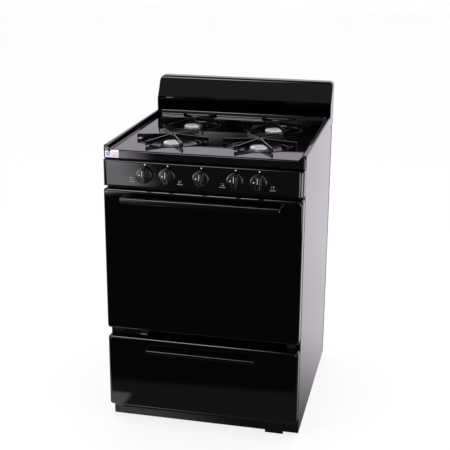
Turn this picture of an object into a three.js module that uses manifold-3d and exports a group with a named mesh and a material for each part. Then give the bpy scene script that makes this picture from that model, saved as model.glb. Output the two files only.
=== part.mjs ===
// Freestanding gas range, 24 inches wide, with four open burners, an oven and a broiler drawer.
// Millimetres. +Z is up, the front faces -Y, and the origin is under the middle of the range.

import * as THREE from 'three';
import { mergeVertices } from 'three/addons/utils/BufferGeometryUtils.js';
import Module from 'manifold-3d';

const wasm = await Module();
wasm.setup();

// ---- driving dimensions ----------------------------------------------------------------------

const HALF_WIDTH = 305;          // cooktop and backguard
const REAR_Y = 357.5;            // back of the backguard
const SURFACE_Z = 900;           // cooking surface
const RIM_Z = 914;               // top of the cooktop's side rims
const TOP_Z = 1026;              // top of the backguard
const GAP = 0.3;                 // between pieces that touch
const SHEET = 2;                 // pressed sheet steel
const TOP_SHEET = 2.5;           // enamelled cooktop and backguard

const BODY_HALF = 303;           // outside of the side panels
const BODY_FRONT = -281;         // front face of the body, behind the door
const BODY_REAR = 352;
const BODY_TOP = 873;
const FLANGE = 14;                // of a side panel, turned in behind the door
const TOE_Y = -270.5;            // recessed skirt
const TOE_Z = 62;
const SKIRT_Z = 9;

const OVEN = { x: 245, front: -276.7, rear: 225, low: 320, floor: 346, high: 760 };
const RACK_RIB_Z = [430, 520, 610, 700];
const RACK_Z = [433.3, 613.3];

const DOOR = { x: 302.5, front: -320.5, back: -287.5, low: 331, high: 785, round: 9 };
const DOOR_HINGE = { y: -292.5, z: 335, x: 278 };
const DRAWER = { x: 302.5, front: -317.5, back: -287.5, low: 63, high: 304, round: 9 };
const DRAWER_BOX = { x: 250, rear: 180, low: 82, high: 205 };
const PANEL = { x: 303, front: -320.5, back: -283.5, low: 793, high: 872.5, round: 14 };

const KNOB_X = [-172, -102, 0, 102, 172];
const KNOB_Z = 834;
const KNOB_BACK = -324.5;
const KNOB_FRONT = -348;
const STEM_END = -335.8;
const MANIFOLD_Y = -252;

const COOKTOP_FRONT = -302.5;
const COOKTOP_REAR = 276;
const APRON_LOW = 874;           // lower edge of the cooktop's skirt
const RIM_INNER = { top: 293, foot: 285 };
const BURNER_X = 137;
const BURNER_Y = { front: -131.5, rear: 123.5 };
const BOWL_RADIUS = 102;
const GRATE_RADIUS = 114.5;
const ARM_COUNT = 6;
const ARM_HALF = 2.5;
const BURNER_RADIUS = 30.5;

// ---- solids ----------------------------------------------------------------------------------

// Turns a closed three.js geometry into a solid whose faces point out.
function solid(geometry) {
  const bare = geometry.clone();
  bare.deleteAttribute('normal');
  bare.deleteAttribute('uv');
  const merged = mergeVertices(bare, 1e-4);
  const points = merged.attributes.position.array;
  const corners = merged.index.array;
  const [a, b, c] = [new THREE.Vector3(), new THREE.Vector3(), new THREE.Vector3()];
  let volume = 0;
  for (let i = 0; i < corners.length; i += 3) {
    a.fromArray(points, corners[i] * 3);
    b.fromArray(points, corners[i + 1] * 3);
    c.fromArray(points, corners[i + 2] * 3);
    volume += a.dot(b.cross(c));
  }
  const triVerts = Uint32Array.from(corners);
  if (volume < 0) {
    for (let i = 0; i < triVerts.length; i += 3) {
      [triVerts[i], triVerts[i + 1]] = [triVerts[i + 1], triVerts[i]];
    }
  }
  return new wasm.Manifold(new wasm.Mesh({ numProp: 3, vertProperties: new Float32Array(points), triVerts }));
}

function box(x0, x1, y0, y1, z0, z1) {
  const shape = new THREE.BoxGeometry(x1 - x0, y1 - y0, z1 - z0);
  return solid(shape.translate((x0 + x1) / 2, (y0 + y1) / 2, (z0 + z1) / 2));
}

// An outline drawn in one plane and carried from one coordinate to another along the third axis.
const PLANES = {
  xy: new THREE.Matrix4(),
  xz: new THREE.Matrix4().set(1, 0, 0, 0, 0, 0, 1, 0, 0, 1, 0, 0, 0, 0, 0, 1),
  yz: new THREE.Matrix4().set(0, 0, 1, 0, 1, 0, 0, 0, 0, 1, 0, 0, 0, 0, 0, 1),
};
function prism(outline, plane, from, to) {
  const shape = new THREE.Shape(outline.map(([u, v]) => new THREE.Vector2(u, v)));
  const block = new THREE.ExtrudeGeometry(shape, { depth: to - from, bevelEnabled: false });
  return solid(block.translate(0, 0, from).applyMatrix4(PLANES[plane]));
}

// A profile of [radius, height] points turned about +Z.
function turned(profile, sides = 24) {
  const points = profile.map(([r, z]) => new THREE.Vector2(r, z));
  return solid(new THREE.LatheGeometry(points, sides).rotateX(Math.PI / 2));
}

function rod(radius, length, sides = 16) {
  return turned([[0, 0], [radius, 0], [radius, length], [0, length]], sides);
}

// A round rod along the Y axis, from y0 to y1.
function rodY(x, z, radius, y0, y1, sides = 16) {
  return rod(radius, y1 - y0, sides).rotate([-90, 0, 0]).translate([x, y0, z]);
}

function tube(points, radius, steps, sides = 8) {
  const curve = new THREE.CatmullRomCurve3(points.map((p) => new THREE.Vector3(...p)), false, 'catmullrom', 0.2);
  const ring = new THREE.Shape(arc(0, 0, radius, 0, 360, sides).slice(0, -1).map(([u, v]) => new THREE.Vector2(u, v)));
  return solid(new THREE.ExtrudeGeometry(ring, { steps, bevelEnabled: false, extrudePath: curve }));
}

// ---- outlines --------------------------------------------------------------------------------

function arc(u, v, radius, fromDeg, toDeg, steps) {
  return Array.from({ length: steps + 1 }, (_, i) => {
    const angle = THREE.MathUtils.degToRad(fromDeg + ((toDeg - fromDeg) * i) / steps);
    return [u + radius * Math.cos(angle), v + radius * Math.sin(angle)];
  });
}

function roundedRectangle(u0, u1, v0, v1, radius, steps = 4) {
  return [
    ...arc(u1 - radius, v1 - radius, radius, 0, 90, steps),
    ...arc(u0 + radius, v1 - radius, radius, 90, 180, steps),
    ...arc(u0 + radius, v0 + radius, radius, 180, 270, steps),
    ...arc(u1 - radius, v0 + radius, radius, 270, 360, steps),
  ];
}

// The same line of points, moved to its right by a sheet's thickness.
function innerFace(line, thickness) {
  const points = line.map(([u, v]) => new THREE.Vector2(u, v));
  return points.map((point, i) => {
    const before = point.clone().sub(points[Math.max(i - 1, 0)]).normalize();
    const after = points[Math.min(i + 1, points.length - 1)].clone().sub(point).normalize();
    const along = before.clone().add(after).normalize();
    const reach = thickness / along.dot(i === 0 ? after : before);
    return [point.x + along.y * reach, point.y - along.x * reach];
  });
}

// ---- materials and the scene -----------------------------------------------------------------

const finish = (color, roughness, metalness) => new THREE.MeshStandardMaterial({ color, roughness, metalness });
const ENAMEL = finish(0x0a0a0b, 0.08, 0);
const SATIN_BLACK = finish(0x131313, 0.35, 0);
const CAST_IRON = finish(0x161616, 0.45, 0.1);
const GREY_ENAMEL = finish(0x2b2d33, 0.3, 0);
const GALVANISED = finish(0x9a9c9e, 0.45, 0.8);
const ALUMINIUM = finish(0xc9cacc, 0.3, 1);
const WIRE = finish(0xc2c4c6, 0.25, 1);
const BRASS = finish(0xb59a55, 0.35, 1);
const STEEL = finish(0x85878a, 0.35, 1);
const KNOB_BLACK = finish(0x0e0e0e, 0.25, 0);
const FIBRE = finish(0x8c8b80, 0.9, 0);

const range = new THREE.Group();

function add(name, shape, material, parent = range, place = [0, 0, 0]) {
  const { vertProperties, triVerts } = shape.getMesh();
  const geometry = new THREE.BufferGeometry();
  geometry.setAttribute('position', new THREE.BufferAttribute(new Float32Array(vertProperties), 3));
  geometry.setIndex(Array.from(triVerts));
  geometry.computeVertexNormals();
  const mesh = new THREE.Mesh(geometry, material);
  mesh.name = name;
  mesh.position.set(...place);
  parent.add(mesh);
}

const SIDES = [['left', -1], ['right', 1]];
const CORNERS = [];
for (const [row, y] of Object.entries(BURNER_Y)) {
  for (const [side, sign] of SIDES) CORNERS.push({ name: `${row}_${side}`, sign, row, x: sign * BURNER_X, y });
}

// ---- body: panels, frames and feet -----------------------------------------------------------

function makeBody() {
  const panelOutline = [
    [BODY_FRONT, TOE_Z], [TOE_Y, TOE_Z], [TOE_Y, SKIRT_Z],
    [BODY_REAR, SKIRT_Z], [BODY_REAR, BODY_TOP], [BODY_FRONT, BODY_TOP],
  ];
  for (const [side, sign] of SIDES) {
    let panel = prism(panelOutline, 'yz', BODY_HALF - SHEET, BODY_HALF)
      .add(box(BODY_HALF - FLANGE, BODY_HALF, BODY_FRONT, BODY_FRONT + SHEET, TOE_Z, BODY_TOP));
    if (sign < 0) panel = panel.mirror([1, 0, 0]);
    add(`${side}_side_panel`, panel, ENAMEL);
  }

  const inletHole = rodY(REGULATOR.x, REGULATOR.z, INLET_HOLE_RADIUS, BODY_REAR - 2, BODY_REAR + 6);
  add('rear_panel', box(-BODY_HALF, BODY_HALF, BODY_REAR + GAP, BODY_REAR + GAP + SHEET, TOE_Z, BODY_TOP)
    .subtract(inletHole), GALVANISED);

  const frameX = BODY_HALF - FLANGE - 0.5;
  const through = [BODY_FRONT - 1, BODY_FRONT + 5];
  const [drawerWindow, valveWindow] = [{ x: 262, low: 75, high: 318 }, { x: 270, low: 800, high: 864 }];
  let front = box(-frameX, frameX, BODY_FRONT, BODY_FRONT + 4, TOE_Z + 1, BODY_TOP - 1)
    .subtract(box(-OVEN.x, OVEN.x, ...through, OVEN.floor - 1, OVEN.high));
  for (const { x, low, high } of [drawerWindow, valveWindow]) front = front.subtract(box(-x, x, ...through, low, high));
  add('front_frame', front, SATIN_BLACK);

  const outer = BODY_HALF - SHEET - 0.5;
  const wall = 3;
  let base = box(-outer, outer, TOE_Y, BODY_REAR, SKIRT_Z, TOE_Z)
    .subtract(box(-outer + wall, outer - wall, TOE_Y + wall, BODY_REAR - wall, 0, 100));
  for (const { x, y: footY } of FEET) {
    const [inX, inY] = [Math.sign(x), Math.sign(footY)];
    const nearX = x - inX * 28;
    const edgeX = inX * (outer - 1);
    const nearY = footY - inY * 28;
    const edgeY = inY < 0 ? TOE_Y + 1 : BODY_REAR - 1;
    base = base.add(box(Math.min(nearX, edgeX), Math.max(nearX, edgeX), Math.min(nearY, edgeY),
      Math.max(nearY, edgeY), 30, 34)).subtract(rod(5.5, 20, 12).translate([x, footY, 22]));
  }
  add('base_frame', base, ENAMEL);

  const foot = turned([[0, 0], [19, 0], [19, 5], [5, 9], [5, 18], [11, 18], [11, 29.6], [5, 29.6],
    [5, 58], [0, 58]], 10);
  for (const { name, x, y: footY } of FEET) add(`levelling_foot_${name}`, foot, STEEL, range, [x, footY, 0]);

  const [x0, x1] = [197, 255];
  const bracket = [[x0, 1], [x1, 1], ...arc(x1 - 10, 31, 10, 0, 90, 4), [x0, 41]];
  add('levelling_bracket', prism(bracket, 'xz', TOE_Y - GAP - SHEET, TOE_Y - GAP), ENAMEL);
}

const FEET = [];
for (const [row, y] of [['front', -236], ['rear', 318]]) {
  for (const [side, sign] of SIDES) FEET.push({ name: `${row}_${side}`, x: sign * 266, y });
}
const REGULATOR = { x: 270, y: 306, z: 834 };
const INLET_HOLE_RADIUS = 16;

// ---- oven ------------------------------------------------------------------------------------

function makeOven() {
  const { x, front, rear, low, floor, high } = OVEN;
  const flueHole = box(-100, 100, rear - 1, rear + 4, high - 34, high - 8);
  const burnerNotch = box(-16, 16, rear - 1, rear + 4, low - 1, floor - 2);
  let liner = box(-x - SHEET, x + SHEET, front, rear + SHEET, low, high + SHEET)
    .subtract(box(-x, x, front - 1, rear, low - 1, high)).subtract(flueHole).subtract(burnerNotch);
  for (const z of RACK_RIB_Z) {
    for (const sign of [-1, 1]) {
      const [a, b] = [sign * (x - 9), sign * (x + 1)];
      liner = liner.add(box(Math.min(a, b), Math.max(a, b), front + 14, rear - 6, z, z + 3));
    }
  }
  add('oven_liner', liner, GREY_ENAMEL);

  let plate = box(-x + 2, x - 2, front + 3, rear - 3, floor, floor + SHEET);
  for (const slotX of [-218, 218]) {
    for (let i = 0; i < 5; i += 1) {
      const y = -210 + i * 88;
      plate = plate.subtract(box(slotX - 5, slotX + 5, y, y + 60, floor - 1, floor + 4));
    }
  }
  add('oven_floor', plate, GREY_ENAMEL);

  const burner = rodY(0, 330, 12, -190, 205, 12).add(rodY(0, 330, 7, 200, 262, 12));
  add('oven_burner', burner, STEEL);

  const duct = (inset) => [
    [rear + SHEET + GAP - (inset ? 1 : 0), high - 38 + inset], [351.5 - inset, high - 38 + inset],
    [351.5 - inset, 965 + (inset ? 1 : 0)], [336 + inset, 965 + (inset ? 1 : 0)],
    [336 + inset, high - 3 - inset], [rear + SHEET + GAP - (inset ? 1 : 0), high - 3 - inset],
  ];
  add('flue_duct', prism(duct(0), 'yz', -110, 110).subtract(prism(duct(1.5), 'yz', -108.5, 108.5)), GALVANISED);

  for (const [i, name] of ['lower', 'upper'].entries()) {
    add(`oven_rack_${name}`, ovenRack(), WIRE, range, [0, 0, RACK_Z[i]]);
  }
}

// A wire rack: a rectangle of thick wire, front to back wires on it, and a raised back stop.
function ovenRack() {
  const [halfX, front, rear, wire] = [241, -222, 214, 6];
  let rack = box(-halfX, halfX, front, rear, 0, wire)
    .subtract(box(-halfX + wire, halfX - wire, front + wire, rear - wire, -1, wire + 1))
    .add(box(-halfX, halfX, rear - wire, rear, 0, 24));
  const count = 11;
  for (let i = 1; i <= count; i += 1) {
    const x = -halfX + (2 * halfX * i) / (count + 1);
    rack = rack.add(box(x - 1.6, x + 1.6, front + 1, rear - 1, 1.5, wire - 0.5));
  }
  return rack.add(box(-halfX + 1, halfX - 1, -6, -1, 0.5, 2.5));
}

// ---- gas parts -------------------------------------------------------------------------------

function makeGas() {
  let pipe = tube([[-225, MANIFOLD_Y, KNOB_Z], [225, MANIFOLD_Y, KNOB_Z], [262, MANIFOLD_Y + 6, KNOB_Z],
    [REGULATOR.x, MANIFOLD_Y + 45, KNOB_Z], [REGULATOR.x, REGULATOR.y - 29, KNOB_Z]], 9, 16);
  for (const x of KNOB_X) {
    if (x === 0) continue;
    pipe = pipe.add(rodY(x, KNOB_Z, 11, -300, MANIFOLD_Y, 8)).add(rodY(x, KNOB_Z, 5, MANIFOLD_Y, -234, 6));
  }
  pipe = pipe.add(rodY(0, KNOB_Z, 6, -262, MANIFOLD_Y, 12));
  add('gas_manifold', pipe, BRASS);

  add('thermostat', box(-22, 22, -300, -262.5, 812, 857).add(rodY(0, KNOB_Z, 9, -303, -299, 12)), STEEL);

  const shell = turned([[0, -22], [14, -22], [17, -8], [26, -6], [26, 6], [20, 14], [9, 20], [9, 26], [0, 26]], 20)
    .add(rod(13, REAR_Y - 0.5 - REGULATOR.y, 16).rotate([-90, 0, 0]))
    .subtract(rod(8.5, 30, 16).rotate([-90, 0, 0]).translate([0, REAR_Y - 24 - REGULATOR.y, 0]));
  add('pressure_regulator', shell, ALUMINIUM, range, [REGULATOR.x, REGULATOR.y, REGULATOR.z]);

  const tray = box(-296, 296, -238, 330, 794, 796).add(box(-296, -294, -238, 330, 795, 806))
    .add(box(294, 296, -238, 330, 795, 806));
  add('burner_box', tray, GALVANISED);

  // Each head is a hollow cup that a mixing tube feeds from the valve; its ring of ports is open.
  const cup = turned([[0, 30], [14, 30], [BURNER_RADIUS, 46], [BURNER_RADIUS, 51], [BURNER_RADIUS - 1, 54.5],
    [BURNER_RADIUS - 5, 54.5], [BURNER_RADIUS - 6, 46], [0, 42]], 16);
  const lid = turned([[0, -1], [27, -1], [29, 1], [29, 4], [20, 7.5], [0, 8.6]], 16);
  for (const { name, sign, row, x, y } of CORNERS) {
    const valve = sign * (row === 'front' ? 102 : 172) - x;
    const mouth = -228 - y;
    const route = row === 'front' ? [[valve, mouth, 0], [0, -4, 0]]
      : [[valve, mouth, 0], [valve, -92, 0], [valve * 0.9, -62, 0], [0, -2, 0]];
    const head = tube(route, 8.5, row === 'front' ? 1 : 8).add(rod(13.5, 40, 24).translate([0, 0, -6])).add(cup);
    add(`burner_head_${name}`, head, ALUMINIUM, range, [x, y, KNOB_Z]);
    add(`burner_cap_${name}`, lid, ALUMINIUM, range, [x, y, SURFACE_Z - 10.5]);
  }
}

// ---- cooktop ---------------------------------------------------------------------------------

function makeCooktop() {
  const rim = [[-HALF_WIDTH, APRON_LOW], [-HALF_WIDTH, RIM_Z - 5],
    ...arc(-HALF_WIDTH + 5, RIM_Z - 5, 5, 150, 90, 2), [-RIM_INNER.top, RIM_Z], [-RIM_INNER.foot, SURFACE_Z]];
  const line = [...rim, ...rim.map(([x, z]) => [-x, z]).reverse()];
  const inside = innerFace(line, TOP_SHEET).slice(1, -1);
  const under = APRON_LOW - 4;
  const hollow = [[TOP_SHEET - HALF_WIDTH, under], ...inside, [HALF_WIDTH - TOP_SHEET, under]];
  const rearRim = [[COOKTOP_REAR - 12, SURFACE_Z - 1], [COOKTOP_REAR - 6, RIM_Z - 0.5],
    [COOKTOP_REAR - 0.5, RIM_Z - 0.5], [COOKTOP_REAR - 0.5, SURFACE_Z - 1]];
  let top = prism(line, 'xz', COOKTOP_FRONT, COOKTOP_REAR)
    .subtract(prism(hollow, 'xz', COOKTOP_FRONT + TOP_SHEET, COOKTOP_REAR + 1))
    .add(prism(rearRim, 'yz', SHEET - RIM_INNER.top, RIM_INNER.top - SHEET));
  for (const { x, y } of CORNERS) top = top.subtract(rod(BOWL_RADIUS - 5, 20, 20).translate([x, y, 890]));
  const cooktop = new THREE.Group();
  range.add(cooktop);
  add('cooktop', top, ENAMEL, cooktop);

  const flange = SURFACE_Z + GAP;
  const bowl = turned([[BOWL_RADIUS, flange], [BOWL_RADIUS, flange + 1.2], [BOWL_RADIUS - 7, flange + 1.2],
    [86, 884], [60, 875], [37, 873], [37, 871.5], [60.5, 873.2], [87.5, 883], [BOWL_RADIUS - 6.2, flange],
    [BOWL_RADIUS, flange]].reverse(), 20);
  const grate = starGrate();
  for (const { name, x, y } of CORNERS) {
    add(`drip_bowl_${name}`, bowl, ENAMEL, cooktop, [x, y, 0]);
    add(`grate_${name}`, grate, CAST_IRON, cooktop, [x, y, flange + 1.2 + GAP]);
  }
}

// Six upright arms from a small hub. Each arm ends in a foot with a low notch under it.
function starGrate() {
  const R = GRATE_RADIUS;
  const notch = [[R - 16, 0], [R - 16, 2.4], [R - 5, 2.4], [R - 5, 0]];
  const arm = [[0, 8], [70, 5], [90, 0], ...notch, [R, 0], ...arc(R - 2.5, 11, 2.5, 0, 90, 2), [95, 13.5],
    [12, 19.5], [0, 19.5]];
  let star = rod(11.5, 11.5, 18).translate([0, 0, 8]);
  for (let i = 0; i < ARM_COUNT; i += 1) {
    star = star.add(prism(arm, 'xz', -ARM_HALF, ARM_HALF).rotate([0, 0, (360 * i) / ARM_COUNT]));
  }
  return star.subtract(rod(7, 30, 12));
}

// ---- backguard and control panel ----------------------------------------------------------------

// A bent sheet from the cooktop's rear edge: a deep groove, a leaning face above it and a flat top.
function makeBackguard() {
  const front = COOKTOP_REAR + 0.8;
  const wallY = 328;
  const lipZ = 958;
  const line = [
    [front, 880], [front, 911], [front + 3, RIM_Z], [front + 20, 921], ...arc(wallY - 14, 939, 14, -75, 0, 3),
    ...arc(wallY - 10, lipZ - 11, 10, 0, 90, 3), [front + 9, lipZ - 1], [front + 5.5, lipZ + 1.5],
    ...arc(front + 45, TOP_Z - 12, 12, 155, 90, 4), ...arc(REAR_Y - 6, TOP_Z - 6, 6, 90, 0, 2), [REAR_Y, 875],
  ];
  const inside = innerFace(line, TOP_SHEET).slice(1, -1);
  const hollow = [[front + TOP_SHEET, 870], ...inside, [REAR_Y - TOP_SHEET, 870]];
  let shell = prism(line, 'yz', -HALF_WIDTH, HALF_WIDTH)
    .subtract(prism(hollow, 'yz', TOP_SHEET - HALF_WIDTH, HALF_WIDTH - TOP_SHEET));
  const endPlate = [[front, SURFACE_Z], [wallY + 4, SURFACE_Z], [wallY + 4, lipZ + 6], [front + 9, lipZ + 6],
    [front, lipZ - 6]];
  for (const sign of [-1, 1]) {
    const [a, b] = [sign * HALF_WIDTH, sign * (HALF_WIDTH - TOP_SHEET)];
    shell = shell.add(prism(endPlate, 'yz', Math.min(a, b), Math.max(a, b)));
  }
  shell = shell.intersect(prism(roundedRectangle(-HALF_WIDTH, HALF_WIDTH, 800, TOP_Z, 15), 'xz', 200, 400));
  for (let i = 0; i < 6; i += 1) {
    const x = -210 + i * 75;
    shell = shell.subtract(box(x, x + 45, REAR_Y - 5, REAR_Y + 5, 985, 993));
  }
  add('backguard', shell, ENAMEL);
}

function makeControls() {
  const { x, front, back, low, high, round } = PANEL;
  const outline = (inset, rear) => [[-x + inset, rear], ...arc(-x + round, front + round, round - inset, 180, 270, 4),
    ...arc(x - round, front + round, round - inset, 270, 360, 4), [x - inset, rear]];
  let shell = prism(outline(0, back), 'xy', low, high)
    .subtract(prism(outline(SHEET, back + 1), 'xy', low + SHEET, high - SHEET));
  for (const knobX of KNOB_X) shell = shell.subtract(rodY(knobX, KNOB_Z, 7, front - 1, front + 3, 12));
  add('control_panel', shell, ENAMEL);

  const depth = KNOB_BACK - KNOB_FRONT;
  const knob = turned([[0, 0], [25, 0], [25, 2.5], [23, 5], [13, 7.5], [0, 8.5]], 16)
    .add(prism(roundedRectangle(-8, 8, -22, 22, 6, 3), 'xy', 3, depth))
    .subtract(rod(4.4, 16, 12).translate([0, 0, -1])).rotate([90, 0, 0]);
  const names = ['rear_left', 'front_left', 'oven', 'front_right', 'rear_right'];
  for (const [i, knobX] of KNOB_X.entries()) {
    const stemStart = knobX === 0 ? -303.4 : -300.4;
    const stem = rod(3.9, stemStart - STEM_END, 12).rotate([90, 0, 0]);
    add(`valve_stem_${names[i]}`, stem, STEEL, range, [knobX, stemStart, KNOB_Z]);
    add(`knob_${names[i]}`, knob, KNOB_BLACK, range, [knobX, KNOB_BACK, KNOB_Z]);
  }
}

// ---- door and drawer ---------------------------------------------------------------------------

// A pressed front: a shallow pan with rounded corners, open at the back.
function frontPan({ x, front, back, low, high, round }) {
  return prism(roundedRectangle(-x, x, low, high, round), 'xz', front, back)
    .subtract(prism(roundedRectangle(-x + SHEET, x - SHEET, low + SHEET, high - SHEET, round - SHEET), 'xz',
      front + SHEET, back + 1));
}

// A bar on two posts; z is the height of its middle.
function barHandle(half, z, height, front, depth, face) {
  let handle = prism(roundedRectangle(front, front + depth, z - height / 2, z + height / 2, 4, 3), 'yz', -half, half);
  for (const sign of [-1, 1]) {
    const [a, b] = [sign * (half - 24), sign * half];
    handle = handle.add(box(Math.min(a, b), Math.max(a, b), front + 4, face - GAP, z - height / 2, z + height / 2));
  }
  return handle;
}

function makeDoor() {
  const door = new THREE.Group();
  range.add(door);
  const { x, front, back, low, high } = DOOR;
  let pan = frontPan(DOOR);
  let liner = box(-x + 2.5, x - 2.5, back + GAP, back + GAP + 1.8, low + 2, high - 2)
    .add(box(-236, 236, back + GAP, back + 9, 358, 750))
    .subtract(box(-234, 234, back - 1, back + 7, 360, 748));
  for (const sign of [-1, 1]) {
    const [a, b] = [sign * (DOOR_HINGE.x - 11), sign * (DOOR_HINGE.x + 11)];
    const notch = box(Math.min(a, b), Math.max(a, b), -302, back + 10, low - 1, 352);
    pan = pan.subtract(notch);
    liner = liner.subtract(notch);
  }
  add('door_panel', pan, ENAMEL, door);
  add('door_liner', liner, GREY_ENAMEL, door);
  add('door_handle', barHandle(241, 760, 17, -REAR_Y, 13, front), SATIN_BLACK, door);

  const gasket = prism(roundedRectangle(-262, 262, 335, 776, 10), 'xz', -284.8, BODY_FRONT - GAP)
    .subtract(prism(roundedRectangle(-251, 251, 343, 766, 6), 'xz', -290, -270));
  add('door_gasket', gasket, FIBRE);

  for (const [side, sign] of SIDES) {
    const hinge = box(-8, 8, BODY_FRONT - GAP - 3, BODY_FRONT - GAP, 319, 344)
      .add(box(-4, 4, DOOR_HINGE.y, BODY_FRONT - GAP - 2, DOOR_HINGE.z - 3, DOOR_HINGE.z + 3))
      .add(rod(3, 16, 12).rotate([0, 90, 0]).translate([-8, DOOR_HINGE.y, DOOR_HINGE.z]));
    add(`door_hinge_${side}`, hinge, STEEL, range, [sign * DOOR_HINGE.x, 0, 0]);
  }
}

function makeDrawer() {
  const drawer = new THREE.Group();
  range.add(drawer);
  add('drawer_front', frontPan(DRAWER), ENAMEL, drawer);
  const { x, rear, low, high } = DRAWER_BOX;
  const tray = box(-x, x, DRAWER.back + GAP, rear, low, high)
    .subtract(box(-x + 2, x - 2, DRAWER.back + GAP + 2, rear - 2, low + 2, high + 1));
  add('drawer_box', tray, GALVANISED, drawer);
  add('drawer_handle', barHandle(172, 270, 12, -344, 10, DRAWER.front), SATIN_BLACK, drawer);

  const panTray = box(-195, 195, -215, 105, 84.5, 112).subtract(box(-192, 192, -212, 102, 87, 113));
  add('broiler_pan', panTray, ENAMEL, drawer);
  let grid = box(-195, 195, -215, 105, 112.5, 115);
  for (let i = 0; i < 9; i += 1) {
    const slotX = -152 + i * 36;
    grid = grid.subtract(box(slotX, slotX + 16, -180, 70, 111, 117));
  }
  add('broiler_grid', grid, ENAMEL, drawer);
}

makeBody();
makeOven();
makeGas();
makeCooktop();
makeBackguard();
makeControls();
makeDoor();
makeDrawer();

export default range;
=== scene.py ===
# %% [markdown]
# # A black freestanding gas range
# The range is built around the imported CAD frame. Nearly every part of it is pressed sheet steel under gloss
# black porcelain enamel, so what the eye sees is the shape of the edges and what the faces reflect.

import bpy
import numpy as np
from mathutils import Matrix, Vector


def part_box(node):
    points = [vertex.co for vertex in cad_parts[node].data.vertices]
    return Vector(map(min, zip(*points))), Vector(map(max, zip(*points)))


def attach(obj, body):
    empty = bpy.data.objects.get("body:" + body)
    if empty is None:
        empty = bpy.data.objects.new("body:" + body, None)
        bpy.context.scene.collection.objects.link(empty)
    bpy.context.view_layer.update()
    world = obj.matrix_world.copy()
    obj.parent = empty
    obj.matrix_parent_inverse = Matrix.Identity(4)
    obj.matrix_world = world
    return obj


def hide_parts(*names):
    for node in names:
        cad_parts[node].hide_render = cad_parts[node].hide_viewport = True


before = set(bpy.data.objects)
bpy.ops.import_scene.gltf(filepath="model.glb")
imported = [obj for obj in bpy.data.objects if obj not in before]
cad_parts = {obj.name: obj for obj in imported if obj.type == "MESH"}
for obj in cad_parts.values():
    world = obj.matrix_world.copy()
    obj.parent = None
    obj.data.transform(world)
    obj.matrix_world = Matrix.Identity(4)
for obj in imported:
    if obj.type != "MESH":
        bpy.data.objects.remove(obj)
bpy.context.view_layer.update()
scene = bpy.context.scene
MM = 0.001


def node_box(name):
    """The lowest and highest corner of a CAD node, as two numpy rows in metres."""
    low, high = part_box(name)
    return np.array(low), np.array(high)


# %% [markdown]
# ## Surfaces from rings
# A pressed panel, a bar, a bowl and a knob are all a row of closed outlines joined by a skin. An outline
# could be drawn with curves and bevelled by hand, but whole arrays of points make every radius a number
# that can be read.

# %% Skins and outlines
def skin(rings, closed=False):
    """Joins outlines (m rings of n points) with quads. The first and last ring are capped flat, unless the
    rings close on themselves."""
    m, n = rings.shape[:2]
    index = np.arange(m * n).reshape(m, n)
    here = index if closed else index[:-1]
    there = np.roll(index, -1, 0) if closed else index[1:]
    quads = np.stack([here, np.roll(here, -1, 1), np.roll(there, -1, 1), there], -1).reshape(-1, 4)
    faces = quads.tolist()
    if not closed:
        faces += [index[0][::-1].tolist(), index[-1].tolist()]
    points = rings.reshape(-1, 3)
    a, b, c = points[quads[:, 0]], points[quads[:, 1]], points[quads[:, 2]]
    d = points[quads[:, 3]]
    volume = np.einsum("ij,ij->i", a, np.cross(b, c)).sum() + np.einsum("ij,ij->i", a, np.cross(c, d)).sum()
    if not closed:
        for ring, sign in ((rings[0], -1), (rings[-1], 1)):
            fan = np.cross(ring[1:-1], ring[2:])
            volume += sign * (fan @ ring[0]).sum()
    if volume < 0:
        faces = [face[::-1] for face in faces]
    return points, faces


def arc(u, v, radius, start, stop, steps):
    """Points on a circle about (u, v), from one angle in degrees to another."""
    angle = np.radians(np.linspace(start, stop, steps + 1))
    return np.column_stack([u + radius * np.cos(angle), v + radius * np.sin(angle)])


def rounded(half_u, half_v, corner, steps=6):
    """A rectangle about (0, 0) with round corners, anticlockwise."""
    u, v = half_u - corner, half_v - corner
    return np.vstack([
        arc(u, v, corner, 0, 90, steps), arc(-u, v, corner, 90, 180, steps),
        arc(-u, -v, corner, 180, 270, steps), arc(u, -v, corner, 270, 360, steps),
    ])


def lift(outline, height, axis="z"):
    """Places a flat outline at a height along an axis; on y the outline is (x, z), on x it is (y, z)."""
    ring = np.column_stack([outline, np.full(len(outline), height)])
    order = {"z": [0, 1, 2], "y": [0, 2, 1], "x": [2, 0, 1]}[axis]
    return ring[:, order]


def carried(outline, axis, start, stop, ease=0.0, steps=4):
    """An outline carried along an axis. With ease, both ends are rounded: the outline shrinks about its
    middle by a quarter circle over the last stretch."""
    middle = (outline.min(0) + outline.max(0)) / 2
    half = (outline.max(0) - outline.min(0)) / 2
    if ease == 0:
        return skin(np.stack([lift(outline, start, axis), lift(outline, stop, axis)]))
    turn = np.radians(np.linspace(0, 90, steps + 1))
    inset, travel = ease * (1 - np.sin(turn)), ease * (1 - np.cos(turn))
    stations = [(start + t, i) for i, t in zip(inset, travel)] + [(stop - t, i) for i,
                                                                  t in zip(inset[::-1], travel[::-1])]
    rings = [lift(middle + (outline - middle) * (1 - i / half), at, axis) for at, i in stations]
    return skin(np.stack(rings))


def block(low, high, ease=0.0008, corner=None, axis="z"):
    """A box with soft edges between two corners."""
    low, high = np.minimum(low, high), np.maximum(low, high)
    plane = {"z": [0, 1], "y": [0, 2], "x": [1, 2]}[axis]
    along = {"z": 2, "y": 1, "x": 0}[axis]
    half = (high - low)[plane] / 2
    outline = rounded(half[0], half[1], corner or ease * 1.5, 3) + ((high + low)[plane] / 2)
    return carried(outline, axis, low[along], high[along], ease)


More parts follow.
